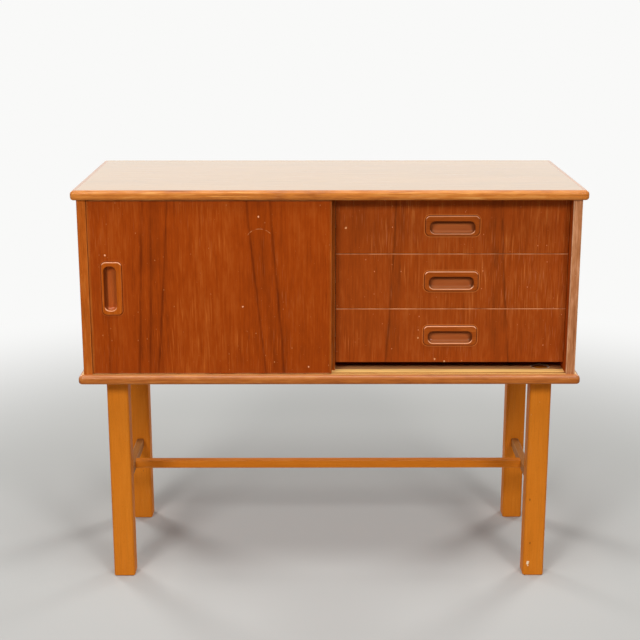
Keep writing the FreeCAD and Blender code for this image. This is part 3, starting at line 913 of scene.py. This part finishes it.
        # The middle one of the three is the distance from the nearest edge
        edge = first.least(second).most(first.most(second).least(third))
        arris = (1 - edge.rise(WORN_CORE, self.wear_width)) * point.noise(RUBBING, board.seed) * self.wear
        large = self.dents(point, board.seed, *LARGE_DENTS)
        small = self.dents(point, board.seed + SMALL_DENT_SHIFT, *SMALL_DENTS) * SMALL_DENT_SHARE
        scratch = point.noise(SCRATCH, board.seed) * point.noise(SCRATCH_PATCH, board.seed)
        return (arris + (large + small) * self.specks + scratch * self.scratches).least(1.0)

    @staticmethod
    def dents(point: Point, seed: float, scale: float, rare: float) -> Wire:
        """Small pale dents scattered over the surface.

        Args:
            point: The shaded point.
            seed: Which stretch of the wood it is.
            scale: Places to the metre where a dent can be.
            rare: The share of those places that have none.

        Returns:
            How much of the point they cover.
        """
        place = (point.across + seed, point.along / SPOT_STRETCH, 0.0)
        near, chance = point.spots(place, scale, "2D")
        dent = 1 - (near + point.noise(DENT_EDGE, seed) * DENT_RAGGED).rise(*DENT_SIZE)
        there = chance.rise(rare, rare + DENT_CHANCE_BLUR)
        return dent * there * chance.out("Green").between(*DENT_STRENGTH)


@dataclass(frozen=True)
class Fibreboard:
    """Pressed brown board.

    Attributes:
        slot: The record's material slot.
        dark: Colour of the fibres' shadows.
        light: Colour of the fibres.
        patches, fibres: Cells to the metre of the broad patches and of the fibres.
        patch_tone, fibre_tone, tone: How far each lightens the board, and where the tone starts.
        rough, rough_swing: Its roughness, and how far that swings from fibre to fibre.
        relief: How far the fibres stand out, in metres.
        strength: How strongly that relief shows.
    """

    slot: str
    dark: str
    light: str
    patches: float = 14.0
    fibres: float = 900.0
    patch_tone: float = 0.7
    fibre_tone: float = 0.6
    tone: float = -0.15
    rough: float = 0.62
    rough_swing: float = 0.3
    relief: float = 0.15 * MM
    strength: float = 0.7

    def dress(self, board: Board) -> bpy.types.Material:
        """Makes the material for one board.

        Args:
            board: The piece.

        Returns:
            The material.
        """
        paint = Paint.fresh(f"{self.slot}_{board.node}")
        patch = paint.cloud(self.patches, 4.0, 0.6, board.seed)
        fibre = paint.cloud(self.fibres, 3.0, 0.7)
        tone = patch * self.patch_tone + fibre * self.fibre_tone + self.tone
        return paint.surface(
            Base_Color=paint.mix(linear(self.dark), linear(self.light), tone),
            Roughness=self.rough + (fibre - 0.5) * self.rough_swing,
            Normal=paint.bump(fibre, self.relief, self.strength),
        )


@dataclass(frozen=True)
class Metal:
    """Dull metal.

    Attributes:
        slot: The record's material slot.
        clean: Colour of clean metal.
        tarnish: Colour of dulled metal.
        stains, marks: Cells to the metre of the stains and of the tool marks.
        edge: Limits of the noise between which a stain starts and is whole.
        dulled: How much of the metal's own look a stain takes away.
        rough, stain_rough: Its roughness, and what a stain adds to it.
        relief: How deep the tool marks are, in metres.
        strength: How strongly they show.
    """

    slot: str
    clean: str
    tarnish: str
    stains: float = 160.0
    marks: float = 2400.0
    edge: tuple[float, float] = (0.35, 0.7)
    dulled: float = 0.25
    rough: float = 0.32
    stain_rough: float = 0.3
    relief: float = 0.05 * MM
    strength: float = 0.5

    def dress(self, board: Board) -> bpy.types.Material:
        """Makes the material for one piece.

        Args:
            board: The piece.

        Returns:
            The material.
        """
        paint = Paint.fresh(f"{self.slot}_{board.node}")
        stain = paint.cloud(self.stains, 4.0, 0.6).rise(*self.edge)
        return paint.surface(
            Base_Color=paint.mix(linear(self.clean), linear(self.tarnish), stain),
            Metallic=1 - stain * self.dulled,
            Roughness=self.rough + stain * self.stain_rough,
            Normal=paint.bump(paint.cloud(self.marks, 1.0), self.relief, self.strength),
        )


@dataclass(frozen=True)
class Nylon:
    """Off-white moulded glides.

    Attributes:
        slot: The record's material slot.
        clean: Colour of clean nylon.
        soiled: Colour of scuffed nylon.
        rubs: Cells to the metre of the rubbed marks, on each axis.
        edge: Limits of the noise between which a mark starts and is whole.
        rough, rubbed_rough: Its roughness, and what a mark adds to it.
        grain: Cells to the metre of its fine grain.
        relief: How deep the grain is, in metres.
        strength: How strongly it shows.
    """

    slot: str
    clean: str
    soiled: str
    rubs: tuple[float, float, float] = (120.0, 300.0, 300.0)
    edge: tuple[float, float] = (0.4, 0.75)
    rough: float = 0.45
    rubbed_rough: float = 0.2
    grain: float = 1800.0
    relief: float = 0.04 * MM
    strength: float = 0.5

    def dress(self, board: Board) -> bpy.types.Material:
        """Makes the material for one piece.

        Args:
            board: The piece.

        Returns:
            The material.
        """
        paint = Paint.fresh(f"{self.slot}_{board.node}")
        place = [axis * cells for axis, cells in zip(paint.spot().values(), self.rubs)]
        sheen_and_rub = paint.noise(*place, 3.0).rise(*self.edge)
        return paint.surface(
            Base_Color=paint.mix(linear(self.clean), linear(self.soiled), sheen_and_rub),
            Roughness=self.rough + sheen_and_rub * self.rubbed_rough,
            Normal=paint.bump(paint.cloud(self.grain, 1.0), self.relief, self.strength),
        )


DOOR_STREAKS = (
    Streak(-0.324, -0.342, 2.6 * MM, 0.44),
    Streak(-0.309, -0.324, 2.0 * MM, 0.28),
    Streak(-0.305, -0.328, 13.0 * MM, 0.12),
    Streak(-0.283, -0.310, 2.2 * MM, 0.40),
    Streak(-0.148, -0.117, 2.2 * MM, 0.42),
    Streak(-0.130, -0.097, 9.0 * MM, 0.20),
    Streak(-0.107, -0.083, 2.8 * MM, 0.42),
    Streak(-0.385, -0.394, 2.0 * MM, 0.20),
)
DRAWER_STREAKS = (
    Streak(0.114, 0.098, 2.6 * MM, 0.42),
    Streak(0.128, 0.110, 6.0 * MM, 0.20),
    Streak(0.287, 0.300, 9.0 * MM, 0.22),
    Streak(0.301, 0.321, 2.4 * MM, 0.42),
)
DOOR_SCRATCH = CurvedScratch("d79a63", 0.55, x=-0.1225, z=0.6465, radius=25.4 * MM, base=0.660)
DOOR_CHIPS = tuple(
    Chip("e8a878", 1.0, x, z, width=2.0 * MM, height=2.4 * MM, ragged=1.9)
    for x, z in ((-0.124, 0.694), (-0.0372, 0.421), (-0.1535, 0.532), (-0.3944, 0.625))
)
DRAWER_CHIPS = tuple(
    Chip("e6a66c", 1.0, x, z, width=2.0 * MM, height=2.6 * MM, ragged=1.9)
    for x, z in ((0.029, 0.6685), (0.160, 0.467), (0.208, 0.4235), (0.1905, 0.4275))
)
LEG_CHIP = Chip("f0d9b8", 1.0, x=0.3755, z=0.025, width=3.4 * MM, height=5.4 * MM, ragged=3.2)
CASE_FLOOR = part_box("bottom_panel")[1].z
RAIL_BARE = RubbedStrip("ffce7c", 1.0, near=-0.1865, far=-0.1525, level=CASE_FLOOR)
FLOOR_BARE = RubbedStrip("e2a66a", 0.7, near=-0.1525, far=-0.125, level=CASE_FLOOR)
LEGS = tuple(f"{row}_{hand}_leg" for row in ("front", "rear") for hand in ("left", "right"))
LEG_AXES = tuple(sum(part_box(leg), Vector()) / 2 for leg in LEGS)
TENON_RIMS = tuple(BoredRim("d6c6a6", 0.9, axis.x, axis.y, 17.2 * MM) for axis in LEG_AXES)
DOOR_SPAN = tuple(corner.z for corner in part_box("door_panel"))
DRAWER_SPAN = (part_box("lower_drawer_front")[0].z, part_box("upper_drawer_front")[1].z)

VENEER = dict(slot="teak_veneer", dark="6e2804", mid="9a3e08", light="b85e20", wear_and_painted_light="e0a066", shine=0.04)
DOOR_VENEER = Timber(**VENEER, specks=0.7, scratches=0.12, streaks=DOOR_STREAKS, span=DOOR_SPAN)
DRAWER_VENEER = Timber(
    slot="teak_veneer", dark="70300c", mid="9a4210", light="ba662c", wear_and_painted_light="fcaa74", shine=0.03,
    wear=1.0, wear_width=1.5 * MM, specks=0.8, scratches=0.2, streaks=DRAWER_STREAKS, span=DRAWER_SPAN,
)
CASE_VENEER = Timber(**VENEER, rough=0.7)
TOP_VENEER = Timber(
    slot="teak_veneer", dark="6e3208", mid="a8601c", light="c07830", wear_and_painted_light="c09a36",
    contrast=1.7, drift=0.9, specks=0.4, scratches=0.3, rough=0.3, shine=0.5,
    varnish_rough=0.1, varnish_ior=1.75, polish=1.0, sheen_and_rub=0.5, wear_width=9 * MM,
)
SOLID = dict(slot="teak_solid", stripes=240.0, drift=0.6, sway=0.012, pith=0.16)
TOP_END = Timber(
    **SOLID, contrast=1.3, dark="80460f", mid="b06c24", light="c88840", wear_and_painted_light="cdb4a0",
    specks=0.2, rough=0.5, shine=0.04, varnish_rough=0.1, varnish_ior=1.75, polish=1.0, sheen_and_rub=0.15,
    level=(0.88, 0.99), wear=1.0, wear_width=7 * MM,
)
TOP_LIPPING = Timber(
    **SOLID, contrast=2.2, dark="8e4616", mid="c2722a", light="da944a", wear_and_painted_light="efc495",
    specks=0.3, rough=0.35, shine=0.08, varnish=0.15, varnish_rough=0.12, polish=0.12, sheen_and_rub=0.05,
)
RAIL_TEAK = Timber(
    **SOLID, contrast=2.0, dark="7d3d14", mid="ad6024", light="c47c3a", wear_and_painted_light="e6b184",
    specks=0.3, shine=0.08, varnish=0.1, varnish_rough=0.14, polish=0.25, sheen_and_rub=0.12,
)
LEFT_LIPPING = Timber(
    **SOLID, contrast=1.3, dark="7c3808", mid="b05618", light="c67430", wear_and_painted_light="dc9048",
    wear=0.3, specks=0.3, shine=0.03,
)
# Paler than the left strip: partly bare wood, partly a painted highlight for the light from the right
RIGHT_LIPPING = Timber(
    **SOLID, contrast=2.0, dark="7c4420", mid="ae6e42", light="dca078", wear_and_painted_light="ecc8a4", specks=0.3,
)
DOOR_LIPPING = Timber(
    **SOLID, contrast=1.3, dark="6b2a06", mid="9c4810", light="b4601e", wear_and_painted_light="d69a66",
    wear=0.15, specks=0.3, shine=0.05,
)
PULL = dict(
    slot="teak_solid", contrast=0.8, sway=0.01, pith=0.12, wear=0.2, specks=0.15, scratches=0.1,
    rough=0.5, shine=0.02, varnish_rough=0.1, polish=0.6, sheen_and_rub=0.3,
)
DOOR_PULL = Timber(**PULL, dark="7c300a", mid="b05412", light="c66e26", wear_and_painted_light="e0a070")
DRAWER_PULL = Timber(**PULL, dark="622606", mid="9c4814", light="b46024", wear_and_painted_light="dd9c6a")
STAINED_BEECH = Timber(
    slot="stained_beech", dark="ac5c12", mid="d2781e", light="de8e34", wear_and_painted_light="ecbc82",
    stripes=150.0, contrast=0.5, drift=0.5, pith=0.22, pores=0.08, flecks=0.18, knots=0.7,
    wear=0.35, specks=0.4, scratches=0.12, shine=0.04,
)
# Painted shade: a darker copy of the stained beech, for the side stretchers
SHADED_BEECH = replace(STAINED_BEECH, dark="84502a", mid="a26a34", light="b28046")
BARE_BEECH = Timber(
    slot="drawer_beech", dark="b08a5c", mid="cfae82", light="e0c49c", wear_and_painted_light="eadabd",
    stripes=140.0, contrast=0.8, pith=0.3, pores=0.15, flecks=0.45, wear=0.2, specks=0.1, scratches=0.1,
    rough=0.6,
)
HARDBOARD = Fibreboard("hardboard", "4a2f1c", "86603c")
STEEL = Metal("steel", "a9a9a4", "6d675c")
BRASS = Metal("brass", "c9a25c", "7c6134")
GLIDE_NYLON = Nylon("fibre", "d8d0ba", "9c8f74")
Finish = Union[Timber, Fibreboard, Metal, Nylon]
Outfit = list[tuple[Board, Finish]]


def seat_rings(pull: str, highlight_ring: float) -> tuple[Mark, ...]:
    """Painted shade in the corner round a pull, and a painted highlight ring just beyond it.

    Args:
        pull: The pull's node.
        highlight_ring: How much of the painted highlight ring shows.

    Returns:
        The two rings.
    """
    # Painted shade in the corner round the pull, then a painted highlight ring beyond it
    painted_shade = SeatRing("3a0e00", 0.8, pull, inner=-2.0 * MM, outer=0.8 * MM)
    sheen_and_rub = SeatRing("d07a38", highlight_ring, pull, inner=1.3 * MM, outer=2.7 * MM)
    return painted_shade, sheen_and_rub


def ease(piece: bpy.types.Object, width: float) -> None:
    """Eases a piece's sharp edges with modifiers.

    Args:
        piece: The piece.
        width: How far each edge is cut back, in metres.
    """
    weld = piece.modifiers.new("weld", "WELD")
    weld.merge_threshold = WELD_REACH
    bevel = piece.modifiers.new("arris", "BEVEL")
    bevel.width = width
    bevel.segments = ARRIS_FACES
    bevel.limit_method = "ANGLE"
    bevel.angle_limit = SHARP_ANGLE


class SubAssembly:
    """A group of pieces that is built and dressed together."""

    def build(self) -> None:
        """Makes the group's pieces that the frame doesn't hold. Most groups have none."""

    def boards(self) -> Outfit:
        """The frame's pieces in this group, each with its finish."""
        return []

    def dress(self) -> None:
        """Eases and dresses the frame's pieces."""
        for board, finish in self.boards():
            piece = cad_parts[board.node]
            if board.arris:
                ease(piece, board.arris)
            piece.data.materials.clear()
            piece.data.materials.append(finish.dress(board))
            log.info("dressed %s in %s", board.node, finish.slot)


@dataclass
class EdgedBoard(SubAssembly):
    """The top or the bottom board: a veneered panel inside solid strips.

    Attributes:
        name: The board's name in the frame.
        front: The node of its front strip.
        veneer: The panel's finish.
        edge: The front strip's finish.
        end: The end strips' finish.
        seed: Which stretch of veneer it has.
        marks: What has happened to it.
    """

    name: str
    front: str
    veneer: Timber
    edge: Timber
    end: Timber
    seed: float
    marks: tuple[Mark, ...] = ()

    def boards(self) -> Outfit:
        """Lists the panel and its three strips.

        Returns:
            The pieces, each with its finish.
        """
        stem = self.name
        seams = ("-x", "+x", "-y")
        panel = Board(f"{stem}_panel", Grain.LEVEL_TOP, self.seed, seams, FLUSH_ARRIS, self.marks)
        front = Board(self.front, Grain.LEVEL_FRONT, self.seed + 1, ("+y",), 0.0, self.marks)
        left = Board(f"{stem}_left_lipping", Grain.DEEP_SIDE, self.seed + 2, ("+x", "-y"), 0.0)
        right = Board(f"{stem}_right_lipping", Grain.DEEP_SIDE, self.seed + 3, ("-x", "-y"), 0.0)
        return [(panel, self.veneer), (front, self.edge), (left, self.end), (right, self.end)]


@dataclass
class Uprights(SubAssembly):
    """The two sides and the divider with their front strips, and the pins and dowels in them."""

    names: tuple[str, ...] = ("left_side", "right_side", "centre_divider")

    def boards(self) -> Outfit:
        """Lists each upright with its strip, then the fittings.

        Returns:
            The pieces, each with its finish.
        """
        made: Outfit = []
        # The divider's strip takes the darker door-strip teak: painted shade for the door's shadow on it
        strips = (LEFT_LIPPING, RIGHT_LIPPING, DOOR_LIPPING)
        for seed, (name, finish) in enumerate(zip(self.names, strips), start=20):
            panel = Board(name, Grain.UP_SIDE, seed, ("-y", "-z", "+z"), FLUSH_ARRIS)
            strip = Board(f"{name}_lipping", Grain.UP_FRONT, seed + 5, ("+y", "-z", "+z"), 0.0)
            made += [(panel, CASE_VENEER), (strip, finish)]
        made.append((Board("carcass_dowels", Grain.UP_FRONT, arris=0.0), BARE_BEECH))
        made.append((Board("shelf_pins", Grain.LEVEL_TOP, arris=0.0), BRASS))
        return made


@dataclass
class BackAndShelf(SubAssembly):
    """The back panel and the shelf."""

    def boards(self) -> Outfit:
        """Lists the back and the shelf.

        Returns:
            The pieces, each with its finish.
        """
        return [
            (Board("back_panel", Grain.UP_FRONT, 31.0), HARDBOARD),
            (Board("shelf", Grain.LEVEL_TOP, 33.0), CASE_VENEER),
        ]


@dataclass
class SlottedScrews(SubAssembly):
    """The back panel's screw heads, domed and slotted.

    Attributes:
        node: The node that they stand for.
        body: The body that they ride on.
        radius, height: A head's size, in metres.
        slot: Half the width of its slot.
        floor: Height of the slot's floor, as a share of the head's.
        dome: Rings above that floor: shares of the radius and of the height.
        turn: How far each slot is turned from the last, in radians.
        steps: Points round half a head.
        skin: How near to the outermost point of the node a rim's points are.
    """

    node: str = "back_panel_screws"
    body: str = "carcass"
    radius: float = 3.4 * MM
    height: float = 2.2 * MM
    slot: float = 0.45 * MM
    floor: float = 0.45
    dome: tuple[tuple[float, float], ...] = (
        (1.0, 0.43), (0.96, 0.66), (0.84, 0.85), (0.6, 0.97), (0.4, 1.0),
    )
    turn: float = 0.65
    steps: int = 14
    skin: float = 0.1 * MM

    def build(self) -> None:
        """Builds the heads in one mesh, which rides on their body and stands for their node."""
        bm = bmesh.new()
        for index, seat in enumerate(self.seats()):
            self.add_head(bm, seat, index * self.turn)
        bmesh.ops.recalc_face_normals(bm, faces=bm.faces)
        mesh = bpy.data.meshes.new("back_screw_heads")
        bm.to_mesh(mesh)
        bm.free()
        mesh.materials.append(STEEL.dress(Board(self.node, Grain.UP_FRONT)))
        piece = bpy.data.objects.new("back_screw_heads", mesh)
        bpy.context.scene.collection.objects.link(piece)
        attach(piece, self.body)
        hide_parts(self.node)
        log.info("built %s", piece.name)

    def seats(self) -> list[Vector]:
        """Finds the heads from the outermost points of the node.

        Returns:
            The middle of each head's seat.
        """
        _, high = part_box(self.node)
        rims: list[list[Vector]] = []
        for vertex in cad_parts[self.node].data.vertices:
            if vertex.co.y < high.y - self.skin:
                continue
            near = [rim for rim in rims if (rim[0] - vertex.co).length < self.radius * 2 + self.skin]
            if near:
                near[0].append(vertex.co)
            else:
                rims.append([vertex.co])
        middles = []
        for rim in rims:
            x, z = ([point[axis] for point in rim] for axis in (0, 2))
            middles.append(Vector(((min(x) + max(x)) / 2, high.y - self.height, (min(z) + max(z)) / 2)))
        return middles

    def add_head(self, bm: bmesh.types.BMesh, seat: Vector, turn: float) -> None:
        """Adds one head: a round base, and two domed halves with the slot between them.

        Args:
            bm: The mesh in the making.
            seat: The middle of the head's seat.
            turn: The slot's angle.
        """
        self.stack(bm, [self.ring(bm, seat, turn, 1.0, share, 0.0) for share in (0.0, self.floor)])
        for half in (0.0, math.pi):
            self.stack(bm, [self.ring(bm, seat, turn + half, *level, self.slot) for level in self.dome])

    def ring(
        self, bm: bmesh.types.BMesh, seat: Vector, turn: float, wide: float, tall: float, cut: float
    ) -> list[bmesh.types.BMVert]:
        """One level of a head.

        Args:
            bm: The mesh in the making.
            seat: The middle of the head's seat.
            turn: The slot's angle.
            wide, tall: Shares of the head's radius and height.
            cut: How far from the middle the slot's wall is, or 0 for a full circle.

        Returns:
            The level's points, in order.
        """
        radius = self.radius * wide
        start = math.asin(cut / radius)
        count = self.steps if cut else self.steps * 2
        sweep = (math.pi - start * 2) / (count - 1) if cut else math.tau / count
        points = []
        for step in range(count):
            angle = turn + start + sweep * step
            offset = Vector((math.cos(angle) * radius, self.height * tall, math.sin(angle) * radius))
            points.append(bm.verts.new(seat + offset))
        return points

    @staticmethod
    def stack(bm: bmesh.types.BMesh, rings: list[list[bmesh.types.BMVert]]) -> None:
        """Joins rings of points into a closed solid.

        Args:
            bm: The mesh in the making.
            rings: The rings from the lowest up, with as many points each.
        """
        bm.faces.new(rings[0])
        bm.faces.new(rings[-1])
        for below, above in zip(rings, rings[1:]):
            for index in range(len(below)):
                after = (index + 1) % len(below)
                bm.faces.new((below[index], below[after], above[after], above[index]))


@dataclass
class SlidingDoor(SubAssembly):
    """The door panel, its strips, its pull and what it slides on.

    Attributes:
        lip: How far from the pull's left end the painted shade in its recess starts to fade, in metres.
        thinning: How far it takes to fade out.
        arris: How far the panel's sharp edges are eased.
        highlight_ring: How much of the painted highlight ring round the pull shows.
    """

    lip: float = 7 * MM
    thinning: float = 4 * MM
    arris: float = 0.25 * MM
    highlight_ring: float = 0.15

    def boards(self) -> Outfit:
        """Lists the door's pieces.

        Returns:
            The pieces, each with its finish.
        """
        low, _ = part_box("door_pull")
        # Painted paler floor, painted shade along the recess's left side and a painted highlight on its
        # upward edges
        recess = (
            RecessFloorSheen("b45a2c", 0.6, low.y),
            RecessShade("4a1804", 0.6, low.y, "x", low.x + self.lip, self.thinning),
            PullHighlight("f4b88c", 0.8, low.y),
        )
        wear_and_painted_light = (DOOR_SCRATCH, *DOOR_CHIPS, *seat_rings("door_pull", self.highlight_ring))
        return [
            (Board("door_panel", Grain.UP_FRONT, 40.0, ("-x", "+x"), self.arris, wear_and_painted_light), DOOR_VENEER),
            (Board("door_left_lipping", Grain.UP_FRONT, 41.0, ("+x",)), DOOR_LIPPING),
            (Board("door_right_lipping", Grain.UP_FRONT, 42.0, ("-x",)), DOOR_LIPPING),
            (Board("door_pull", Grain.UP_FRONT, 43.0, arris=0.0, marks=recess), DOOR_PULL),
            (Board("door_head_guide", Grain.LEVEL_FRONT, 44.0), BARE_BEECH),
            (Board("door_glides", Grain.LEVEL_FRONT, arris=0.0), GLIDE_NYLON),
        ]


@dataclass
class Drawer(SubAssembly):
    """One drawer: veneered front, recessed pull and box.

    Attributes:
        name: Which of the three it is.
        seed: Which stretch of wood its box has.
        lip, thinning: Where the painted shade under the recess's upper edge fades, and over what distance.
        end, end_thinning: The same at the recess's two ends, in metres.
        arris: How far the front's sharp edges are eased.
        highlight_ring: How much of the painted highlight ring round the pull shows.
    """

    name: str
    seed: float
    lip: float = 12 * MM
    thinning: float = 6 * MM
    end: float = 8 * MM
    end_thinning: float = 7 * MM
    arris: float = 0.5 * MM
    highlight_ring: float = 0.5

    def boards(self) -> Outfit:
        """Lists the drawer's pieces.

        Returns:
            The pieces, each with its finish.
        """
        stem = f"{self.name}_drawer"
        low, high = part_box(f"{stem}_pull")
        # Painted shade under the recess's upper edge and at its ends, a painted paler floor and a painted
        # highlight on its upward edges
        painted_shade = ("3c1404", 0.6, low.y)
        recess = (
            RecessFloorSheen("b86a3c", 0.55, low.y),
            RecessShade(*painted_shade, "z", high.z - self.lip, -self.thinning),
            RecessShade(*painted_shade, "x", low.x + self.end, self.end_thinning),
            RecessShade(*painted_shade, "x", high.x - self.end, -self.end_thinning),
            PullHighlight("f6b488", 1.0, low.y),
        )
        foot, head = (corner.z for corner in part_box(f"{stem}_front"))
        chips = [chip for chip in DRAWER_CHIPS if foot < chip.z < head]
        wear_and_painted_light = (*chips, *seat_rings(f"{stem}_pull", self.highlight_ring))
        front = Board(f"{stem}_front", Grain.UP_FRONT, 50.0, ("-x", "+x", "-z"), self.arris, wear_and_painted_light)
        return [
            (front, DRAWER_VENEER),
            (Board(f"{stem}_pull", Grain.LEVEL_FRONT, self.seed, arris=0.0, marks=recess), DRAWER_PULL),
            (Board(f"{stem}_left_side", Grain.DEEP_SIDE, self.seed + 1), BARE_BEECH),
            (Board(f"{stem}_right_side", Grain.DEEP_SIDE, self.seed + 2), BARE_BEECH),
            (Board(f"{stem}_back", Grain.LEVEL_FRONT, self.seed + 3), BARE_BEECH),
            (Board(f"{stem}_bottom", Grain.LEVEL_TOP, self.seed + 4), HARDBOARD),
        ]


@dataclass
class Runners(SubAssembly):
    """The wooden runners and their screws."""

    def boards(self) -> Outfit:
        """Lists both sides' runners and the screws.

        Returns:
            The pieces, each with its finish.
        """
        return [
            (Board("left_runners", Grain.DEEP_SIDE, 61.0), BARE_BEECH),
            (Board("right_runners", Grain.DEEP_SIDE, 62.0), BARE_BEECH),
            (Board("runner_screws", Grain.UP_FRONT, arris=0.0), STEEL),
        ]


@dataclass
class LegFrame(SubAssembly):
    """Four legs, two side stretchers and the long stretcher."""

    def boards(self) -> Outfit:
        """Lists the leg frame's pieces.

        Returns:
            The pieces, each with its finish.
        """
        made: Outfit = []
        for seed, leg in enumerate(LEGS, start=70):
            marks = (LEG_CHIP,) if leg == "front_right_leg" else ()
            made.append((Board(leg, Grain.UP_FRONT, seed, ("+z",), 0.0, marks), STAINED_BEECH))
        for seed, hand in ((75.0, "left"), (76.0, "right")):
            board = Board(f"{hand}_side_stretcher", Grain.DEEP_SIDE, seed, ("-y", "+y"), 0.0)
            made.append((board, SHADED_BEECH))
        board = Board("long_stretcher", Grain.LEVEL_FRONT, 77.0, ("-x", "+x"), 0.0)
        made.append((board, STAINED_BEECH))
        return made


@dataclass(frozen=True)
class Lamp:
    """An oval soft lamp.

    Attributes:
        name: Its name.
        place: Where it hangs.
        aim: What it points at.
        size: Its width and its height, in metres.
        power: Its power, in watts.
    """

    name: str
    place: tuple[float, float, float]
    aim: tuple[float, float, float]
    size: tuple[float, float]
    power: float

    def build(self) -> None:
        """Hangs the lamp."""
        data = bpy.data.lights.new(self.name, "AREA")
        data.shape = "ELLIPSE"
        data.size, data.size_y = self.size
        data.energy = self.power
        lamp = bpy.data.objects.new(self.name, data)
        lamp.location = self.place
        lamp.rotation_euler = (Vector(self.aim) - Vector(self.place)).to_track_quat("-Z", "Y").to_euler()
        bpy.context.scene.collection.objects.link(lamp)


@dataclass
class Studio:
    """The floor, the light and the camera.

    Attributes:
        pale: Colour of the background.
        floor: Colour of the floor.
        floor_radius: How far the floor reaches, in metres.
        floor_sides: Sides of its outline.
        floor_drop: How far it lies below the feet, in metres.
        fade: Distances between which the floor turns into plain background.
        ambient: Strength of the light from all round.
        lamps: The soft lamps.
        eye: The camera's place.
        tilt, pan: How far it looks down, and to the right, in degrees.
        lens: Focal length in millimetres.
    """

    pale: str = "f9f9f8"
    floor: str = "b9b9b6"
    floor_radius: float = 90.0
    floor_sides: int = 96
    floor_drop: float = 0.5 * MM
    fade: tuple[float, float] = (0.8, 2.0)
    ambient: float = 0.09
    lamps: tuple[Lamp, ...] = (
        Lamp("left_lamp", (-1.55, -3.3, 2.5), (0.0, -0.2, 0.45), (1.1, 1.1), 66.0),
        Lamp("right_lamp", (1.55, -3.3, 2.5), (0.0, -0.2, 0.45), (0.9, 0.9), 49.0),
        Lamp("upper_lamp", (0.0, -0.75, 3.1), (0.0, -0.1, 0.5), (2.6, 1.5), 60.0),
        Lamp("rear_left_lamp", (-2.4, 2.6, 2.3), (0.0, 0.2, 0.5), (1.2, 1.2), 60.0),
        Lamp("rear_right_lamp", (2.4, 2.6, 2.3), (0.0, 0.2, 0.5), (1.2, 1.2), 55.0),
    )
    eye: tuple[float, float, float] = (-0.0246, -2.4732, 1.1009)
    tilt: float = 14.54
    pan: float = 0.193
    lens: float = 74.82

    def build(self) -> None:
        """Makes everything that isn't the cabinet."""
        bpy.context.scene.view_settings.view_transform = "Standard"
        self.build_world()
        self.build_floor()
        for lamp in self.lamps:
            lamp.build()
        self.build_camera()

    def seen(self, paint: Paint) -> Wire:
        """One for rays that the eye follows straight, off gloss or through glass; none for the rest."""
        ray = paint.node("ShaderNodeLightPath", {}, {}, "Is Camera Ray")
        return ray.most(ray.out("Is Glossy Ray")).most(ray.out("Is Transmission Ray"))

    def build_world(self) -> None:
        """Even light from all round, with a pale background behind it."""
        world = bpy.data.worlds.new("studio")
        bpy.context.scene.world = world
        paint = Paint(world)
        light = paint.node("ShaderNodeBackground", {}, {0: (1.0, 1.0, 1.0, 1.0), 1: self.ambient})
        back = paint.node("ShaderNodeBackground", {}, {0: linear(self.pale), 1: 1.0})
        paint.show(paint.node("ShaderNodeMixShader", {}, {0: self.seen(paint), 1: light, 2: back}))

    def build_floor(self) -> None:
        """A plain pale floor that fades into the background far away."""
        mesh = bpy.data.meshes.new("studio_floor")
        bm = bmesh.new()
        bmesh.ops.create_circle(bm, cap_ends=True, segments=self.floor_sides, radius=self.floor_radius)
        bmesh.ops.translate(bm, verts=bm.verts, vec=(0.0, 0.0, -self.floor_drop))
        bm.to_mesh(mesh)
        bm.free()
        floor = bpy.data.objects.new("studio_floor", mesh)
        bpy.context.scene.collection.objects.link(floor)
        paint = Paint.fresh("studio_floor")
        spot = paint.spot()
        away = spot["x"].span(spot["y"]).rise(*self.fade)
        matte = paint.node("ShaderNodeBsdfDiffuse", {}, {"Color": linear(self.floor)})
        plain = paint.node("ShaderNodeEmission", {}, {"Color": linear(self.pale), "Strength": 1.0})
        sockets = {0: away * self.seen(paint), 1: matte, 2: plain}
        mesh.materials.append(paint.show(paint.node("ShaderNodeMixShader", {}, sockets)))

    def build_camera(self) -> None:
        """The camera at the photograph's place and angle."""
        data = bpy.data.cameras.new("camera")
        data.lens = self.lens
        data.sensor_width = SENSOR_WIDTH
        camera = bpy.data.objects.new("camera", data)
        camera.location = self.eye
        camera.rotation_euler = (math.radians(90 - self.tilt), 0.0, math.radians(-self.pan))
        bpy.context.scene.collection.objects.link(camera)
        bpy.context.scene.camera = camera


def main() -> None:
    """Builds and dresses the cabinet, then the studio."""
    logging.basicConfig(level=logging.INFO, format="%(name)s: %(message)s")
    worn_floor = (RAIL_BARE, FLOOR_BARE, *TENON_RIMS)
    assemblies: list[SubAssembly] = [
        EdgedBoard("top", "top_front_lipping", TOP_VENEER, TOP_LIPPING, TOP_END, 1.0),
        EdgedBoard("bottom", "bottom_front_rail", CASE_VENEER, RAIL_TEAK, RAIL_TEAK, 11.0, worn_floor),
        Uprights(),
        BackAndShelf(),
        SlottedScrews(),
        SlidingDoor(),
        Drawer("lower", 51.0),
        Drawer("middle", 81.0),
        Drawer("upper", 91.0),
        Runners(),
        LegFrame(),
    ]
    for assembly in assemblies:
        assembly.build()
        assembly.dress()
    Studio().build()


if __name__ == "__main__":
    main()
